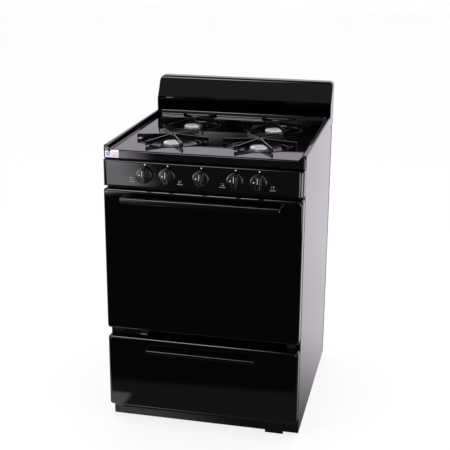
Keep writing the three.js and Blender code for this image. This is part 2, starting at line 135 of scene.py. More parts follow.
def turned(profile, steps=48, centre=(0, 0, 0), slots=None):
    """A (radius, height) profile turned about the vertical axis through centre. slots changes the radius with
    the angle: it takes the angle and the height and gives a factor."""
    angle = np.linspace(0, 2 * np.pi, steps, endpoint=False)
    radius = profile[:, 0][:, None] * (1 if slots is None else slots(angle[None, :], profile[:, 1][:, None]))
    rings = np.stack([
        radius * np.cos(angle), radius * np.sin(angle), np.repeat(profile[:, 1][:, None], steps, 1)
    ], -1)
    return skin(rings + np.array(centre), closed=False)


def turned_shell(profile, steps=64, centre=(0, 0, 0)):
    """A closed (radius, height) profile, such as a bowl's wall, turned about the vertical axis."""
    angle = np.linspace(0, 2 * np.pi, steps, endpoint=False)
    radius = np.repeat(profile[:, 0][:, None], steps, 1)
    rings = np.stack([
        radius * np.cos(angle), radius * np.sin(angle), np.repeat(profile[:, 1][:, None], steps, 1)
    ], -1)
    return skin(rings + np.array(centre), closed=True)


def inward(line, distance):
    """Moves an open line of (u, v) points to its right by a distance, with mitred corners."""
    step = np.diff(line, axis=0)
    step /= np.linalg.norm(step, axis=1)[:, None]
    before, after = np.vstack([step[:1], step]), np.vstack([step, step[-1:]])
    along = before + after
    along /= np.linalg.norm(along, axis=1)[:, None]
    reach = distance / np.einsum("ij,ij->i", along, after)
    return line + np.column_stack([along[:, 1], -along[:, 0]]) * reach[:, None]


def swept(section, path):
    """A section (n, 2) carried along a path (m, 3). At each point the section is square to the path, with its
    second axis as near as it can be to straight up."""
    tangent = np.gradient(path, axis=0)
    tangent /= np.linalg.norm(tangent, axis=1)[:, None]
    up = np.array([0, 0, 1.0])
    side = np.cross(tangent, up)
    weak = np.linalg.norm(side, axis=1) < 1e-3
    side[weak] = [1.0, 0, 0]
    side /= np.linalg.norm(side, axis=1)[:, None]
    top = np.cross(side, tangent)
    return skin(path[:, None] + side[:, None] * section[None, :, :1] + top[:, None] * section[None, :, 1:])


def turn_about(part, degrees, axis, centre=(0, 0, 0)):
    points, faces = part
    matrix = np.array(Matrix.Rotation(np.radians(degrees), 3, axis))
    return (points - centre) @ matrix.T + centre, faces


def moved(part, offset):
    return part[0] + np.array(offset), part[1]


def rounded_line(corners, steps=5):
    """An open line through (u, v, r) corners. Each corner is cut by an arc of radius r that touches both
    sides."""
    corners = np.array(corners, float)
    line = [corners[:1, :2]]
    for before, (u, v, radius), after in zip(corners[:-2], corners[1:-1], corners[2:]):
        corner = np.array([u, v])
        back, on = before[:2] - corner, after[:2] - corner
        back, on = back / np.linalg.norm(back), on / np.linalg.norm(on)
        half = np.arccos(np.clip(back @ on, -1, 1)) / 2
        centre = corner + (back + on) / np.linalg.norm(back + on) * radius / np.sin(half)
        first, last = corner + back * radius / np.tan(half), corner + on * radius / np.tan(half)
        a, b = (np.arctan2(*(p - centre)[::-1]) for p in (first, last))
        turn = (b - a + np.pi) % (2 * np.pi) - np.pi
        angle = a + turn * np.linspace(0, 1, steps + 1)
        line.append(centre + radius * np.column_stack([np.cos(angle), np.sin(angle)]))
    line.append(corners[-1:, :2])
    return np.vstack(line)


def grid(rows, inside):
    """An open surface of quads through a grid of points (m, n, 3), facing away from the point inside."""
    m, n = rows.shape[:2]
    index = np.arange(m * n).reshape(m, n)
    quads = np.stack([index[:-1, :-1], index[:-1, 1:], index[1:, 1:], index[1:, :-1]], -1).reshape(-1, 4)
    points = rows.reshape(-1, 3)
    corners = points[quads]
    normal = np.cross(corners[:, 2] - corners[:, 0], corners[:, 3] - corners[:, 1])
    if ((corners.mean(1) - np.array(inside)) * normal).sum() < 0:
        quads = quads[:, ::-1]
    return points, quads.tolist()


def facing(points, ring, direction):
    """A ring of point numbers, in the order that makes its face look along a direction."""
    loop = points[ring] - points[ring].mean(0)
    area = np.cross(loop, np.roll(loop, -1, 0)).sum(0)
    return ring if area @ np.array(direction) > 0 else ring[::-1]


def settle(made):
    """Works an object's modifiers into its mesh."""
    shape = made.evaluated_get(bpy.context.evaluated_depsgraph_get())
    mesh = bpy.data.meshes.new_from_object(shape)
    made.modifiers.clear()
    made.data = mesh


def mesh_of(name, parts):
    offsets = np.cumsum([0] + [len(points) for points, _ in parts])
    points = np.vstack([points for points, _ in parts])
    faces = [[i + offset for i in face] for (_, made), offset in zip(parts, offsets) for face in made]
    mesh = bpy.data.meshes.new(name)
    mesh.from_pydata(points.tolist(), [], faces)
    return mesh


def piece(name, parts, body, material, replaces=(), sharp=32, sheet=0.0, cuts=()):
    """Makes one Blender object of parts, shades it smooth below the sharp angle, and joins it to its CAD
    body. sheet gives open surfaces a thickness, inwards; cuts are closed parts that are taken away. The
    normals are weighted by area, which keeps a big flat face flat up to its rolled edge."""
    made = bpy.data.objects.new(name, mesh_of(name, parts))
    scene.collection.objects.link(made)
    if sheet:
        wall = made.modifiers.new("wall", "SOLIDIFY")
        wall.thickness, wall.offset, wall.use_even_offset = sheet, -1, True
    if cuts:
        cutter = bpy.data.objects.new("cutter", mesh_of("cutter", cuts))
        scene.collection.objects.link(cutter)
        cut = made.modifiers.new("cut", "BOOLEAN")
        cut.operation, cut.object, cut.solver, cut.use_self = "DIFFERENCE", cutter, "EXACT", True
    if sheet or cuts:
        settle(made)
        if cuts:
            bpy.data.objects.remove(cutter)
    made.data.shade_smooth()
    made.data.set_sharp_from_angle(angle=np.radians(sharp))
    even = made.modifiers.new("even", "WEIGHTED_NORMAL")
    even.keep_sharp = True
    settle(made)
    made.data.name = name
    made.data.materials.clear()
    made.data.materials.append(material)
    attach(made, body)
    if replaces:
        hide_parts(*replaces)
    return made


# %% [markdown]
# ## Finishes
# Porcelain enamel is glass fused to steel. It is never quite flat: it has a slow waviness from the pressing
# and a fine orange peel from the firing, and hands and cloths leave a faint film. One group makes that
# surface, and each material gives it its own amounts. Colours and gloss that don't vary are set on the
# shader itself.

# %% Node groups
def new_group(name, inputs, outputs):
    group = bpy.data.node_groups.new(name, "ShaderNodeTree")
    for label, kind, value in inputs:
        socket = group.interface.new_socket(name=label, in_out="INPUT", socket_type=f"NodeSocket{kind}")
        if value is not None:
            socket.default_value = value
    for label, kind in outputs:
        group.interface.new_socket(name=label, in_out="OUTPUT", socket_type=f"NodeSocket{kind}")
    return group, group.nodes.new("NodeGroupInput"), group.nodes.new("NodeGroupOutput")


def wire(tree, kind, inputs=None, **settings):
    """Adds a node, applies its settings, and links or sets its inputs."""
    node = tree.nodes.new(kind)
    for key, value in settings.items():
        setattr(node, key, value)
    for key, value in (inputs or {}).items():
        if isinstance(value, bpy.types.NodeSocket):
            tree.links.new(value, node.inputs[key])
        else:
            node.inputs[key].default_value = value
    return node


def math_node(tree, operation, a, b=0.0, clamp=False):
    node = wire(tree, "ShaderNodeMath", {0: a, 1: b}, operation=operation, use_clamp=clamp)
    return node.outputs[0]


def mix_color(tree, factor, a, b):
    """Mixes two colours; the Mix node's colour sockets are its 7th and 8th, and its colour output the
    third."""
    node = wire(tree, "ShaderNodeMix", data_type="RGBA")
    for place, value in ((0, factor), (6, a), (7, b)):
        if isinstance(value, bpy.types.NodeSocket):
            tree.links.new(value, node.inputs[place])
        else:
            node.inputs[place].default_value = value
    return node.outputs[2]


def make_surface_group():
    """Slow waviness plus fine peel as a height, and a blotchy film as a roughness."""
    group, given, out = new_group(
        "fired_surface",
        [("Vector", "Vector", None), ("Waviness", "Float", 0.3), ("Peel", "Float", 0.1),
         ("Peel Size", "Float", 700.0), ("Roughness", "Float", 0.06), ("Film", "Float", 0.05)],
        [("Height", "Float"), ("Roughness", "Float")],
    )
    slow = wire(group, "ShaderNodeTexNoise", {"Vector": given.outputs["Vector"], "Scale": 7.0, "Detail": 1.0})
    fine = wire(group, "ShaderNodeTexNoise",
                {"Vector": given.outputs["Vector"], "Scale": given.outputs["Peel Size"], "Detail": 2.0})
    film = wire(group, "ShaderNodeTexNoise", {"Vector": given.outputs["Vector"], "Scale": 5.5, "Detail": 6.0,
                                              "Roughness": 0.62, "Distortion": 0.6})
    waves = math_node(group, "MULTIPLY", slow.outputs["Fac"], given.outputs["Waviness"])
    peel = math_node(group, "MULTIPLY", fine.outputs["Fac"], given.outputs["Peel"])
    blotch = wire(group, "ShaderNodeMapRange", {"Value": film.outputs["Fac"], "From Min": 0.46,
                                                "From Max": 0.74})
    added = math_node(group, "MULTIPLY", blotch.outputs["Result"], given.outputs["Film"])
    group.links.new(math_node(group, "ADD", waves, peel), out.inputs["Height"])
    group.links.new(math_node(group, "ADD", added, given.outputs["Roughness"]), out.inputs["Roughness"])
    return group


def make_dust_group():
    """Faint dust that settles on faces that look up, in broken patches."""
    group, given, out = new_group(
        "settled_dust",
        [("Vector", "Vector", None), ("Amount", "Float", 0.1)],
        [("Mask", "Float")],
    )
    facing = wire(group, "ShaderNodeNewGeometry")
    up = wire(group, "ShaderNodeSeparateXYZ", {"Vector": facing.outputs["Normal"]})
    flat = math_node(group, "POWER", math_node(group, "MAXIMUM", up.outputs["Z"], 0.0), 6.0)
    noise = wire(group, "ShaderNodeTexNoise", {"Vector": given.outputs["Vector"], "Scale": 45.0,
                                               "Detail": 8.0,
                                               "Roughness": 0.7})
    specks = wire(group, "ShaderNodeMapRange", {"Value": noise.outputs["Fac"], "From Min": 0.5,
                                                "From Max": 0.8})
    amount = math_node(group, "MULTIPLY", math_node(group, "MULTIPLY", flat, specks.outputs["Result"]),
                       given.outputs["Amount"])
    group.links.new(amount, out.inputs["Mask"])
    return group


def make_speck_group():
    """Pale flecks in dark enamel, as on an oven's inside."""
    group, given, out = new_group(
        "enamel_specks",
        [("Vector", "Vector", None), ("Ground", "Color", (0.02, 0.02, 0.03, 1)),
         ("Fleck", "Color", (0.5, 0.5, 0.5, 1)),
         ("Size", "Float", 420.0), ("Cover", "Float", 0.2)],
        [("Color", "Color")],
    )
    cells = wire(group, "ShaderNodeTexVoronoi", {"Vector": given.outputs["Vector"],
                                                 "Scale": given.outputs["Size"]})
    near = math_node(group, "LESS_THAN", cells.outputs["Distance"], given.outputs["Cover"])
    mixed = mix_color(group, near, given.outputs["Ground"], given.outputs["Fleck"])
    group.links.new(mixed, out.inputs["Color"])
    return group


SURFACE = make_surface_group()
DUST = make_dust_group()
SPECKS = make_speck_group()
print("node groups", [g.name for g in bpy.data.node_groups])

# %% [markdown]
# ## The finishes of this range
# Black enamel, moulded black plastic, cast aluminium, zinc sheet and printed marks are all one shader with
# its own numbers. Writing them as one function keeps every finish comparable, and each call reads as a line
# in a paint list. The oven's inside is enamel too, with pale flecks from a second group.

# %% Materials
BUMP_MM = 0.0004


def finish(name, color, roughness, metallic=0.0, film=0.04, peel=0.1, peel_size=700.0, waviness=0.2,
           ior=1.5, coat=0.0, dust=0.0, tint=None):
    """A Principled material over the fired_surface group. tint varies the colour a little with slow noise."""
    made = bpy.data.materials.new(name)
    made.use_nodes = True
    tree = made.node_tree
    shader = tree.nodes["Principled BSDF"]
    shader.inputs["Base Color"].default_value = (*color, 1)
    shader.inputs["Metallic"].default_value = metallic
    shader.inputs["IOR"].default_value = ior
    shader.inputs["Coat Weight"].default_value = coat
    shader.inputs["Coat Roughness"].default_value = 0.03
    place = wire(tree, "ShaderNodeTexCoord").outputs["Object"]
    surface = wire(tree, "ShaderNodeGroup", node_tree=SURFACE)
    for key, value in (("Waviness", waviness), ("Peel", peel), ("Peel Size", peel_size),
                       ("Roughness", roughness), ("Film", film)):
        surface.inputs[key].default_value = value
    tree.links.new(place, surface.inputs["Vector"])
    bump = wire(tree, "ShaderNodeBump", {"Height": surface.outputs["Height"], "Strength": 1.0,
                                         "Distance": BUMP_MM})
    tree.links.new(bump.outputs["Normal"], shader.inputs["Normal"])
    tree.links.new(surface.outputs["Roughness"], shader.inputs["Roughness"])
    shade = None
    if tint:
        noise = wire(tree, "ShaderNodeTexNoise", {"Vector": place, "Scale": tint[1], "Detail": 5.0})
        shade = mix_color(tree, noise.outputs["Fac"], (*color, 1), (*tint[0], 1))
        tree.links.new(shade, shader.inputs["Base Color"])
    if dust:
        settled = wire(tree, "ShaderNodeGroup", node_tree=DUST)
        settled.inputs["Amount"].default_value = dust
        tree.links.new(place, settled.inputs["Vector"])
        shade = mix_color(tree, settled.outputs["Mask"], shade or (*color, 1), (0.35, 0.34, 0.32, 1))
        tree.links.new(shade, shader.inputs["Base Color"])
    return made


ENAMEL = finish("black_enamel", (0.0006, 0.0006, 0.0007), 0.03, film=0.02, peel=0.02, waviness=0.12,
                dust=0.006)
BOWL_ENAMEL = finish("bowl_enamel", (0.0006, 0.0006, 0.0007), 0.05, film=0.04, peel=0.05, waviness=0.1)
GRATE_ENAMEL = finish("grate_enamel", (0.0015, 0.0015, 0.0015), 0.07, film=0.05, peel=0.12, peel_size=900.0,
                      tint=((0.003, 0.0028, 0.0026), 60.0))
HANDLE_BLACK = finish("handle_black", (0.001, 0.001, 0.001), 0.08, film=0.05, peel=0.15, peel_size=1200.0)
FRAME_BLACK = finish("frame_black", (0.002, 0.002, 0.002), 0.35, film=0.1, peel=0.4, peel_size=900.0)
KNOB_PLASTIC = finish("knob_plastic", (0.0018, 0.0018, 0.0018), 0.1, film=0.06, peel=0.25, peel_size=1500.0)
ALUMINIUM = finish("burner_aluminium", (0.92, 0.92, 0.91), 0.26, metallic=0.35, film=0.1, peel=0.4,
                   peel_size=300.0, tint=((0.76, 0.76, 0.75), 90.0))
CAST_ALUMINIUM = finish("cast_aluminium", (0.62, 0.62, 0.61), 0.42, metallic=1.0, film=0.15, peel=1.6,
                        peel_size=420.0, tint=((0.45, 0.45, 0.44), 120.0))
ZINC = finish("zinc_sheet", (0.48, 0.49, 0.50), 0.36, metallic=1.0, film=0.2, peel=0.3,
              tint=((0.34, 0.35, 0.36), 22.0))
STEEL = finish("plain_steel", (0.42, 0.42, 0.42), 0.34, metallic=1.0, film=0.15, peel=0.3,
               tint=((0.3, 0.3, 0.3), 70.0))
CHROME_WIRE = finish("chrome_wire", (0.78, 0.78, 0.79), 0.1, metallic=1.0, film=0.08, peel=0.2)
BRASS = finish("brass_fittings", (0.62, 0.46, 0.2), 0.3, metallic=1.0, film=0.15, peel=0.3,
               tint=((0.5, 0.36, 0.15), 80.0))
FIBRE = finish("gasket_fibre", (0.2, 0.19, 0.17), 0.85, film=0.1, peel=6.0, peel_size=500.0,
               tint=((0.11, 0.1, 0.09), 300.0))
PRINT_WHITE = finish("print_white", (0.75, 0.75, 0.74), 0.4, film=0.05, peel=0.2,
                     tint=((0.62, 0.62, 0.62), 900.0))
PRINT_GREY = finish("print_grey", (0.3, 0.3, 0.3), 0.4, film=0.05, peel=0.2, tint=((0.22, 0.22, 0.22), 900.0))
MATT_BLACK = finish("matt_black", (0.004, 0.004, 0.004), 0.85, film=0.05, peel=0.5, ior=1.2)
LABEL_WHITE = finish("label_white", (0.72, 0.70, 0.73), 0.5, film=0.05, peel=0.1,
                     tint=((0.66, 0.62, 0.68), 120.0))
LABEL_BLUE = finish("label_blue", (0.22, 0.25, 0.52), 0.5, film=0.05, peel=0.1,
                    tint=((0.3, 0.3, 0.58), 200.0))
LABEL_MAUVE = finish("label_mauve", (0.46, 0.3, 0.44), 0.5, film=0.05, peel=0.1,
                     tint=((0.56, 0.4, 0.52), 200.0))
# Painted shade: the screws' cross recesses are black bars in this finish, with no dip in the head.
RECESS_SHADE_BLACK = finish("painted_recess_shade", (0.003, 0.003, 0.003), 0.7, film=0.1, peel=0.5)


def speckled(name, ground, fleck, size, cover, roughness):
    made = finish(name, ground, roughness, film=0.08, peel=0.3)
    tree = made.node_tree
    specks = wire(tree, "ShaderNodeGroup", node_tree=SPECKS)
    specks.inputs["Ground"].default_value = (*ground, 1)
    specks.inputs["Fleck"].default_value = (*fleck, 1)
    specks.inputs["Size"].default_value = size
    specks.inputs["Cover"].default_value = cover
    tree.links.new(wire(tree, "ShaderNodeTexCoord").outputs["Object"], specks.inputs["Vector"])
    tree.links.new(specks.outputs["Color"], tree.nodes["Principled BSDF"].inputs["Base Color"])
    return made


OVEN_ENAMEL = speckled("oven_enamel", (0.018, 0.02, 0.028), (0.42, 0.43, 0.46), 380.0, 0.22, 0.14)
BROILER_ENAMEL = speckled("broiler_enamel", (0.006, 0.006, 0.008), (0.3, 0.3, 0.32), 260.0, 0.15, 0.12)
print("materials", len(bpy.data.materials))

# %% [markdown]
# ## Pressed panels
# The door, the drawer front and the control panel are shallow pans: a flat face, a rolled edge and a short
# wall. A bevelled box would give the same radius everywhere, but the control panel has wide rolls at its
# ends and small ones along its long edges, so the pan takes the two radii apart. A narrow extra ring just
# inside the roll keeps the big face truly flat in its reflections.

# %% Pans
PAN_WALL = 2 * MM
FLAT_MARGIN = 1.5 * MM


def pan(low, high, corner, end_roll, edge_roll, steps=8, facing=-1):
    """A pan with its face towards -Y, or +Y when facing is 1. Each ring is a rounded rectangle, drawn in by
    the quarter circle of its roll, r(1 - cos t), while its depth is r(1 - sin t). Between the ends and the
    long edges the depth is blended by the corner's angle."""
    half = (high - low)[[0, 2]] / 2
    middle = (high + low)[[0, 2]] / 2
    depth = high[1] - low[1]
    face = low[1] if facing < 0 else high[1]
    angle = np.radians(np.concatenate([np.linspace(q * 90, q * 90 + 90, 7) for q in range(4)]))
    to_end = np.cos(angle) ** 2

    def ring(inset_u, inset_v, depth_end, depth_edge):
        outline = rounded(half[0] - inset_u, half[1] - inset_v, corner) + middle
        y = face - facing * (to_end * depth_end + (1 - to_end) * depth_edge)
        return np.column_stack([outline[:, 0], y, outline[:, 1]])

    rings = [
        ring(end_roll + PAN_WALL, edge_roll + PAN_WALL, PAN_WALL, PAN_WALL),
        ring(PAN_WALL, PAN_WALL, max(end_roll, PAN_WALL), max(edge_roll, PAN_WALL)),
        ring(PAN_WALL, PAN_WALL, depth, depth),
        ring(0, 0, depth, depth),
    ]
    for t in np.radians(np.linspace(0, 90, steps + 1)):
        gone, left = 1 - np.cos(t), 1 - np.sin(t)
        rings.append(ring(end_roll * gone, edge_roll * gone, end_roll * left, edge_roll * left))
    rings.append(ring(end_roll + FLAT_MARGIN, edge_roll + FLAT_MARGIN, 0, 0))
    return skin(np.stack(rings))


DOOR_LOW, DOOR_HIGH = node_box("door_panel")
DRAWER_LOW, DRAWER_HIGH = node_box("drawer_front")
PANEL_LOW, PANEL_HIGH = node_box("control_panel")
LINER_LOW, LINER_HIGH = node_box("door_liner")
CORNER, ROLL = 9 * MM, 8 * MM
hinge_notches = [
    block(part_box(f"door_hinge_{side}")[0] - Vector((0.003, 0.008, 0.02)),
          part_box(f"door_hinge_{side}")[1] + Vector((0.003, 0.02, 0.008)), 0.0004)
    for side in ("left", "right")
]
door_shell = piece("door_shell", [pan(DOOR_LOW, DOOR_HIGH, CORNER, ROLL, ROLL)], "door", ENAMEL,
                   ["door_panel"], cuts=hinge_notches)
PLUG_LOW = np.array([-0.236, LINER_LOW[1], LINER_LOW[2] + 0.025])
PLUG_HIGH = np.array([0.236, LINER_HIGH[1], LINER_HIGH[2] - 0.033])
plate = block(LINER_LOW, [LINER_HIGH[0], LINER_LOW[1] + 1.8 * MM, LINER_HIGH[2]], 0.6 * MM, 5 * MM, "y")
plug = pan(PLUG_LOW, PLUG_HIGH, 14 * MM, 5 * MM, 5 * MM, facing=1)
door_liner = piece("door_inner", [plate, plug], "door", OVEN_ENAMEL, ["door_liner"],
                   cuts=hinge_notches)
drawer_shell = piece("drawer_shell", [pan(DRAWER_LOW, DRAWER_HIGH, CORNER, ROLL, ROLL)], "drawer", ENAMEL,
                     ["drawer_front"])
control_shell = piece("control_shell", [pan(PANEL_LOW, PANEL_HIGH, 3 * MM, 14 * MM, 4 * MM)], "range_body",
                      ENAMEL,
                      ["control_panel"])
print("pans", [len(o.data.polygons) for o in (door_shell, door_liner, drawer_shell, control_shell)])

# %% [markdown]
# ## Handles
# Each handle is one black bar on two posts. The bar is a rounded section carried along its length, and its
# ends are eased so that a hand meets no edge. The posts run into the back of the bar, as on a moulded
# handle.

# %% Bar handles
def bar_handle(name, body, node, bar_depth, post_width, corner):
    low, high = node_box(node)
    back = low[1] + bar_depth
    section = rounded(bar_depth / 2, (high[2] - low[2]) / 2, corner) + [low[1] + bar_depth / 2,
                                                                        (low[2] + high[2]) / 2]
    parts = [carried(section, "x", low[0], high[0], 3 * MM, 6)]
    for side, end in ((1, low[0]), (-1, high[0])):
        near, far = end + side * 1 * MM, end + side * post_width
        parts.append(block([near, back - 4 * MM, low[2] + 1 * MM], [far, high[1], high[2] - 1 * MM], 1 * MM,
                           3 * MM, "y"))
    return piece(name, parts, body, HANDLE_BLACK, [node])


bar_handle("oven_handle", "door", "door_handle", 13 * MM, 24 * MM, 5 * MM)
bar_handle("broiler_handle", "drawer", "drawer_handle", 10 * MM, 24 * MM, 4 * MM)

# %% [markdown]
# ## Cooktop
# The cooking top is one deep pressing: a flat well between raised side rims, a rear rim and a rolled front
# edge that runs down into an apron. Its height is worked out over a grid, so the rims meet in soft corners
# without a seam. The sheet gets its thickness from Solidify, and the four openings are cut last, as a press
# would.

# %% Cooktop pressing
TOP_LOW, TOP_HIGH = node_box("cooktop")
WELL_Z, RIM_RISE = 900 * MM, 14 * MM
RIM_FOOT, RIM_FLAT = 285 * MM, 295 * MM
REAR_FOOT, REAR_FLAT = 263 * MM, 271 * MM
NOSE = 7 * MM
BOWL_R = 102 * MM
BURNERS = {}
for row in ("front", "rear"):
    for side in ("left", "right"):
        low, high = node_box(f"drip_bowl_{row}_{side}")
        BURNERS[f"{row}_{side}"] = (low + high) / 2


def soft_step(value, low, high):
    t = np.clip((value - low) / (high - low), 0, 1)
    return t * t * (3 - 2 * t)


def cooktop_rows():
    """Height is the well plus the rise times 1 - (1 - side)(1 - rear), where side and rear are soft steps
    in x and in y. At the nose each section is drawn in and down by a quarter circle."""
    half = TOP_HIGH[0]
    wall = np.array([[half, TOP_LOW[2]], [half, TOP_LOW[2] + 12 * MM], [half, 905 * MM]])
    bend = arc(half - 5 * MM, TOP_HIGH[2] - 5 * MM, 5 * MM, 0, 90, 6)
    shelf = np.concatenate([np.linspace(298 * MM, RIM_FLAT, 3), np.linspace(RIM_FLAT, RIM_FOOT, 11)[1:],
                            np.linspace(283 * MM, 0, 12)])
    x = np.concatenate([wall[:, 0], bend[:, 0], shelf])
    x = np.concatenate([x, -x[-2::-1]])
    reach = np.abs(x)
    outer = np.concatenate([wall[:, 1], bend[:, 1], np.full(len(shelf), np.nan)])
    outer = np.concatenate([outer, outer[-2::-1]])
    side = soft_step(reach, RIM_FOOT, RIM_FLAT)
    turn = np.radians(np.linspace(0, 90, 8))
    nose_y = TOP_LOW[1] + NOSE * (1 - np.cos(turn))
    y = np.concatenate([nose_y, [TOP_LOW[1] + NOSE + 2 * MM], np.linspace(-0.27, 0.255, 8),
                        np.linspace(REAR_FOOT, REAR_FLAT, 9), [273 * MM, TOP_HIGH[1] - 0.4 * MM]])
    drop = np.concatenate([NOSE * (1 - np.sin(turn)), np.zeros(len(y) - len(turn))])
    rear = soft_step(y, REAR_FOOT, REAR_FLAT)
    height = WELL_Z + RIM_RISE * (1 - (1 - side[None, :]) * (1 - rear[:, None]))
    height = np.where(np.isnan(outer)[None, :], height, outer[None, :])
    base = TOP_LOW[2]
    height = base + (height - base) * (1 - drop[:, None] / (TOP_HIGH[2] - base))
    across = x[None, :] * (1 - drop[:, None] / half)
    return np.stack([across, np.repeat(y[:, None], len(x), 1), height], -1)


rows = cooktop_rows()
top_points, top_faces = grid(rows, (0, 0, 0.8))
top_faces.append(facing(top_points, list(range(rows.shape[1])), (0, -1, 0)))
holes = [carried(rounded(BOWL_R - 5 * MM, BOWL_R - 5 * MM, BOWL_R - 5 * MM, 16) + at[:2], "z", 0.87, 0.93)
         for at in BURNERS.values()]
cooktop = piece("cooktop_pressing", [(top_points, top_faces)], "cooktop", ENAMEL, ["cooktop"],
                sharp=40,
                sheet=1.6 * MM, cuts=holes)
print("cooktop", len(cooktop.data.polygons), "faces", [round(v, 4) for v in cooktop.bound_box[6]])

# %% [markdown]
# ## Bowls, burners and grates
# Each bowl is a dish with a rolled lip that hangs in its opening. The burner head comes up through its
# middle: an aluminium cup with a ring of gas ports and a domed cap. The bowl, cap and head are profiles
# turned about the burner's axis; the ports are cut into the ring by changing its radius with the angle.

# %% Drip bowls
BOWL_TOP = node_box("drip_bowl_front_left")[1][2]


for name, at in BURNERS.items():
    line = rounded_line([
        (BOWL_R, 900.6 * MM, 0), (BOWL_R, BOWL_TOP, 0.8 * MM), (95.5 * MM, BOWL_TOP, 3 * MM),
        (90 * MM, 886.8 * MM, 8 * MM), (62 * MM, 877.8 * MM, 60 * MM), (40 * MM, 873.4 * MM, 2 * MM),
        (37.6 * MM, 876 * MM, 0),
    ], 7)
    wall = inward(line, -1.2 * MM)
    piece(f"bowl_{name}", [turned_shell(np.vstack([line, wall[::-1]]), 96, (at[0], at[1], 0))], "cooktop",
          BOWL_ENAMEL, [f"drip_bowl_{name}"], sharp=50)
print("bowls", len(BURNERS))

# %% [markdown]
# ### Burner heads and caps
# A head is a casting: a mixing tube that runs from the valve, a cup, and a ring with gas ports. The tube is a
# circle swept along a smooth route, and the ports are dents in a turned ring, because drilling each one as a
# boolean would cost far more faces than the eye can see.

# %% Burner heads and caps
PORTS = 28
TUBE_Z = 834 * MM


def port_ring(angle, height):
    """The radius drops by a twentieth at each port, as a soft dent, only between the ring's two lips."""
    dent = np.clip(np.cos(angle * PORTS), 0, 1) ** 0.5
    inside = (height > 880.4 * MM) & (height < 884.6 * MM)
    return 1 - 0.07 * dent * inside


def eased_route(points, steps):
    """A smooth curve through points: on each span a cubic whose end slopes are a fifth of the chord between
    the neighbouring points."""
    points = np.array(points, float)
    padded = np.vstack([2 * points[0] - points[1], points, 2 * points[-1] - points[-2]])
    t = np.linspace(0, 1, steps, endpoint=False)[:, None]
    spans = []
    for before, a, b, after in zip(padded[:-3], padded[1:-2], padded[2:-1], padded[3:]):
        m0, m1 = 0.2 * (b - before), 0.2 * (after - a)
        spans.append((2 * t**3 - 3 * t**2 + 1) * a + (t**3 - 2 * t**2 + t) * m0
                     + (3 * t**2 - 2 * t**3) * b + (t**3 - t**2) * m1)
    return np.vstack([*spans, points[-1:]])


def burner_head(name, at):
    low, high = node_box(f"burner_head_{name}")
    sign = np.sign(at[0])
    valve = sign * (0.102 if name.startswith("front") else 0.172)
    mouth = [valve, low[1] + 1 * MM, TUBE_Z]
    middle = [at[0], at[1] - 3 * MM, TUBE_Z]
    bend = [at[0] + (valve - at[0]) * 0.9, at[1] - 62 * MM, TUBE_Z]
    route = [mouth, middle] if name.startswith("front") else [mouth, [valve, at[1] - 92 * MM, TUBE_Z], bend,
                                                              middle]
    around = arc(0, 0, 8.2 * MM, 0, 360, 20)[:-1]
    tube = swept(around, eased_route(route, 8))
    profile = rounded_line([
        (0.2 * MM, 829 * MM, 0), (12.5 * MM, 829 * MM, 2 * MM), (12.5 * MM, 866 * MM, 6 * MM),
        (29.5 * MM, 879 * MM, 3 * MM), (30.4 * MM, 880.2 * MM, 0),
    ], 5)
    ring = np.array([[30.4, 880.3], [30.2, 880.6], [30.0, 881.5], [30.0, 883.5], [30.2, 884.4], [30.4, 884.7],
                     [30.3, 886.4], [29.6, 888.0], [28.6, 888.4], [26.5, 888.4], [26.0, 887.8], [24.6, 881],
                     [0.2, 878]]) * MM
    bell = np.array([[0.2, 0], [9, 0], [11.5, 4], [11.5, 12], [9, 16], [0.2, 16]]) * MM
    mouth_bell = turn_about(turned(bell, 28), -90, "X")
    return [tube, turned(np.vstack([profile, ring]), 28 * 8, (at[0], at[1], 0), port_ring),
            moved(mouth_bell, (valve, mouth[1] - 0.5 * MM, TUBE_Z))]


CAP = rounded_line([(0.3, 888.7, 0), (26.6, 888.7, 0.6), (29, 889.9, 0.7), (29, 892.9, 0.9),
                    (26.3, 894.6, 1.2),
                    (12, 897.4, 20), (0.3, 898, 0)], 6) * MM
for name, at in BURNERS.items():
    piece(f"head_{name}", burner_head(name, at), "range_body", CAST_ALUMINIUM, [f"burner_head_{name}"],
          sharp=38)
    piece(f"cap_{name}", [turned(CAP, 72, (at[0], at[1], 0))], f"burner_cap_{name}", ALUMINIUM,
          [f"burner_cap_{name}"], sharp=40)
print("burners", len(BURNERS), "ports in each", PORTS)

# %% [markdown]
# ## Star grates
# A grate is six upright arms from a small hub. Each arm tapers outwards, ends in a foot with a low notch
# under it, and is a few millimetres thick with rounded edges, because it is cast. The arm is one outline in
# the upright plane, made a plate: a swept bar could not hold its deep foot.

# %% Star grates
ARMS, ARM_HALF, ARM_EASE = 6, 2.5 * MM, 0.7 * MM
GRATE_Z = node_box("grate_front_left")[0][2]


def plate_with_edges(outline, half, ease, steps=3):
    """A closed outline in (x, z) made a plate across y with rounded edges: the outline is drawn inwards by
    e(1 - sin t) while the plate reaches out by e(1 - cos t)."""
    closed = np.vstack([outline[-1:], outline, outline[:1]])
    t = np.radians(np.linspace(0, 90, steps + 1))
    rings = []
    for inset, y in list(zip(ease * (1 - np.sin(t)), -half + ease * (1 - np.cos(t)))) + list(
            zip(ease * (1 - np.sin(t[::-1])), half - ease * (1 - np.cos(t[::-1])))):
        moved_in = inward(closed, -inset)[1:-1]
        rings.append(np.column_stack([moved_in[:, 0], np.full(len(moved_in), y), moved_in[:, 1]]))
    return np.stack(rings)


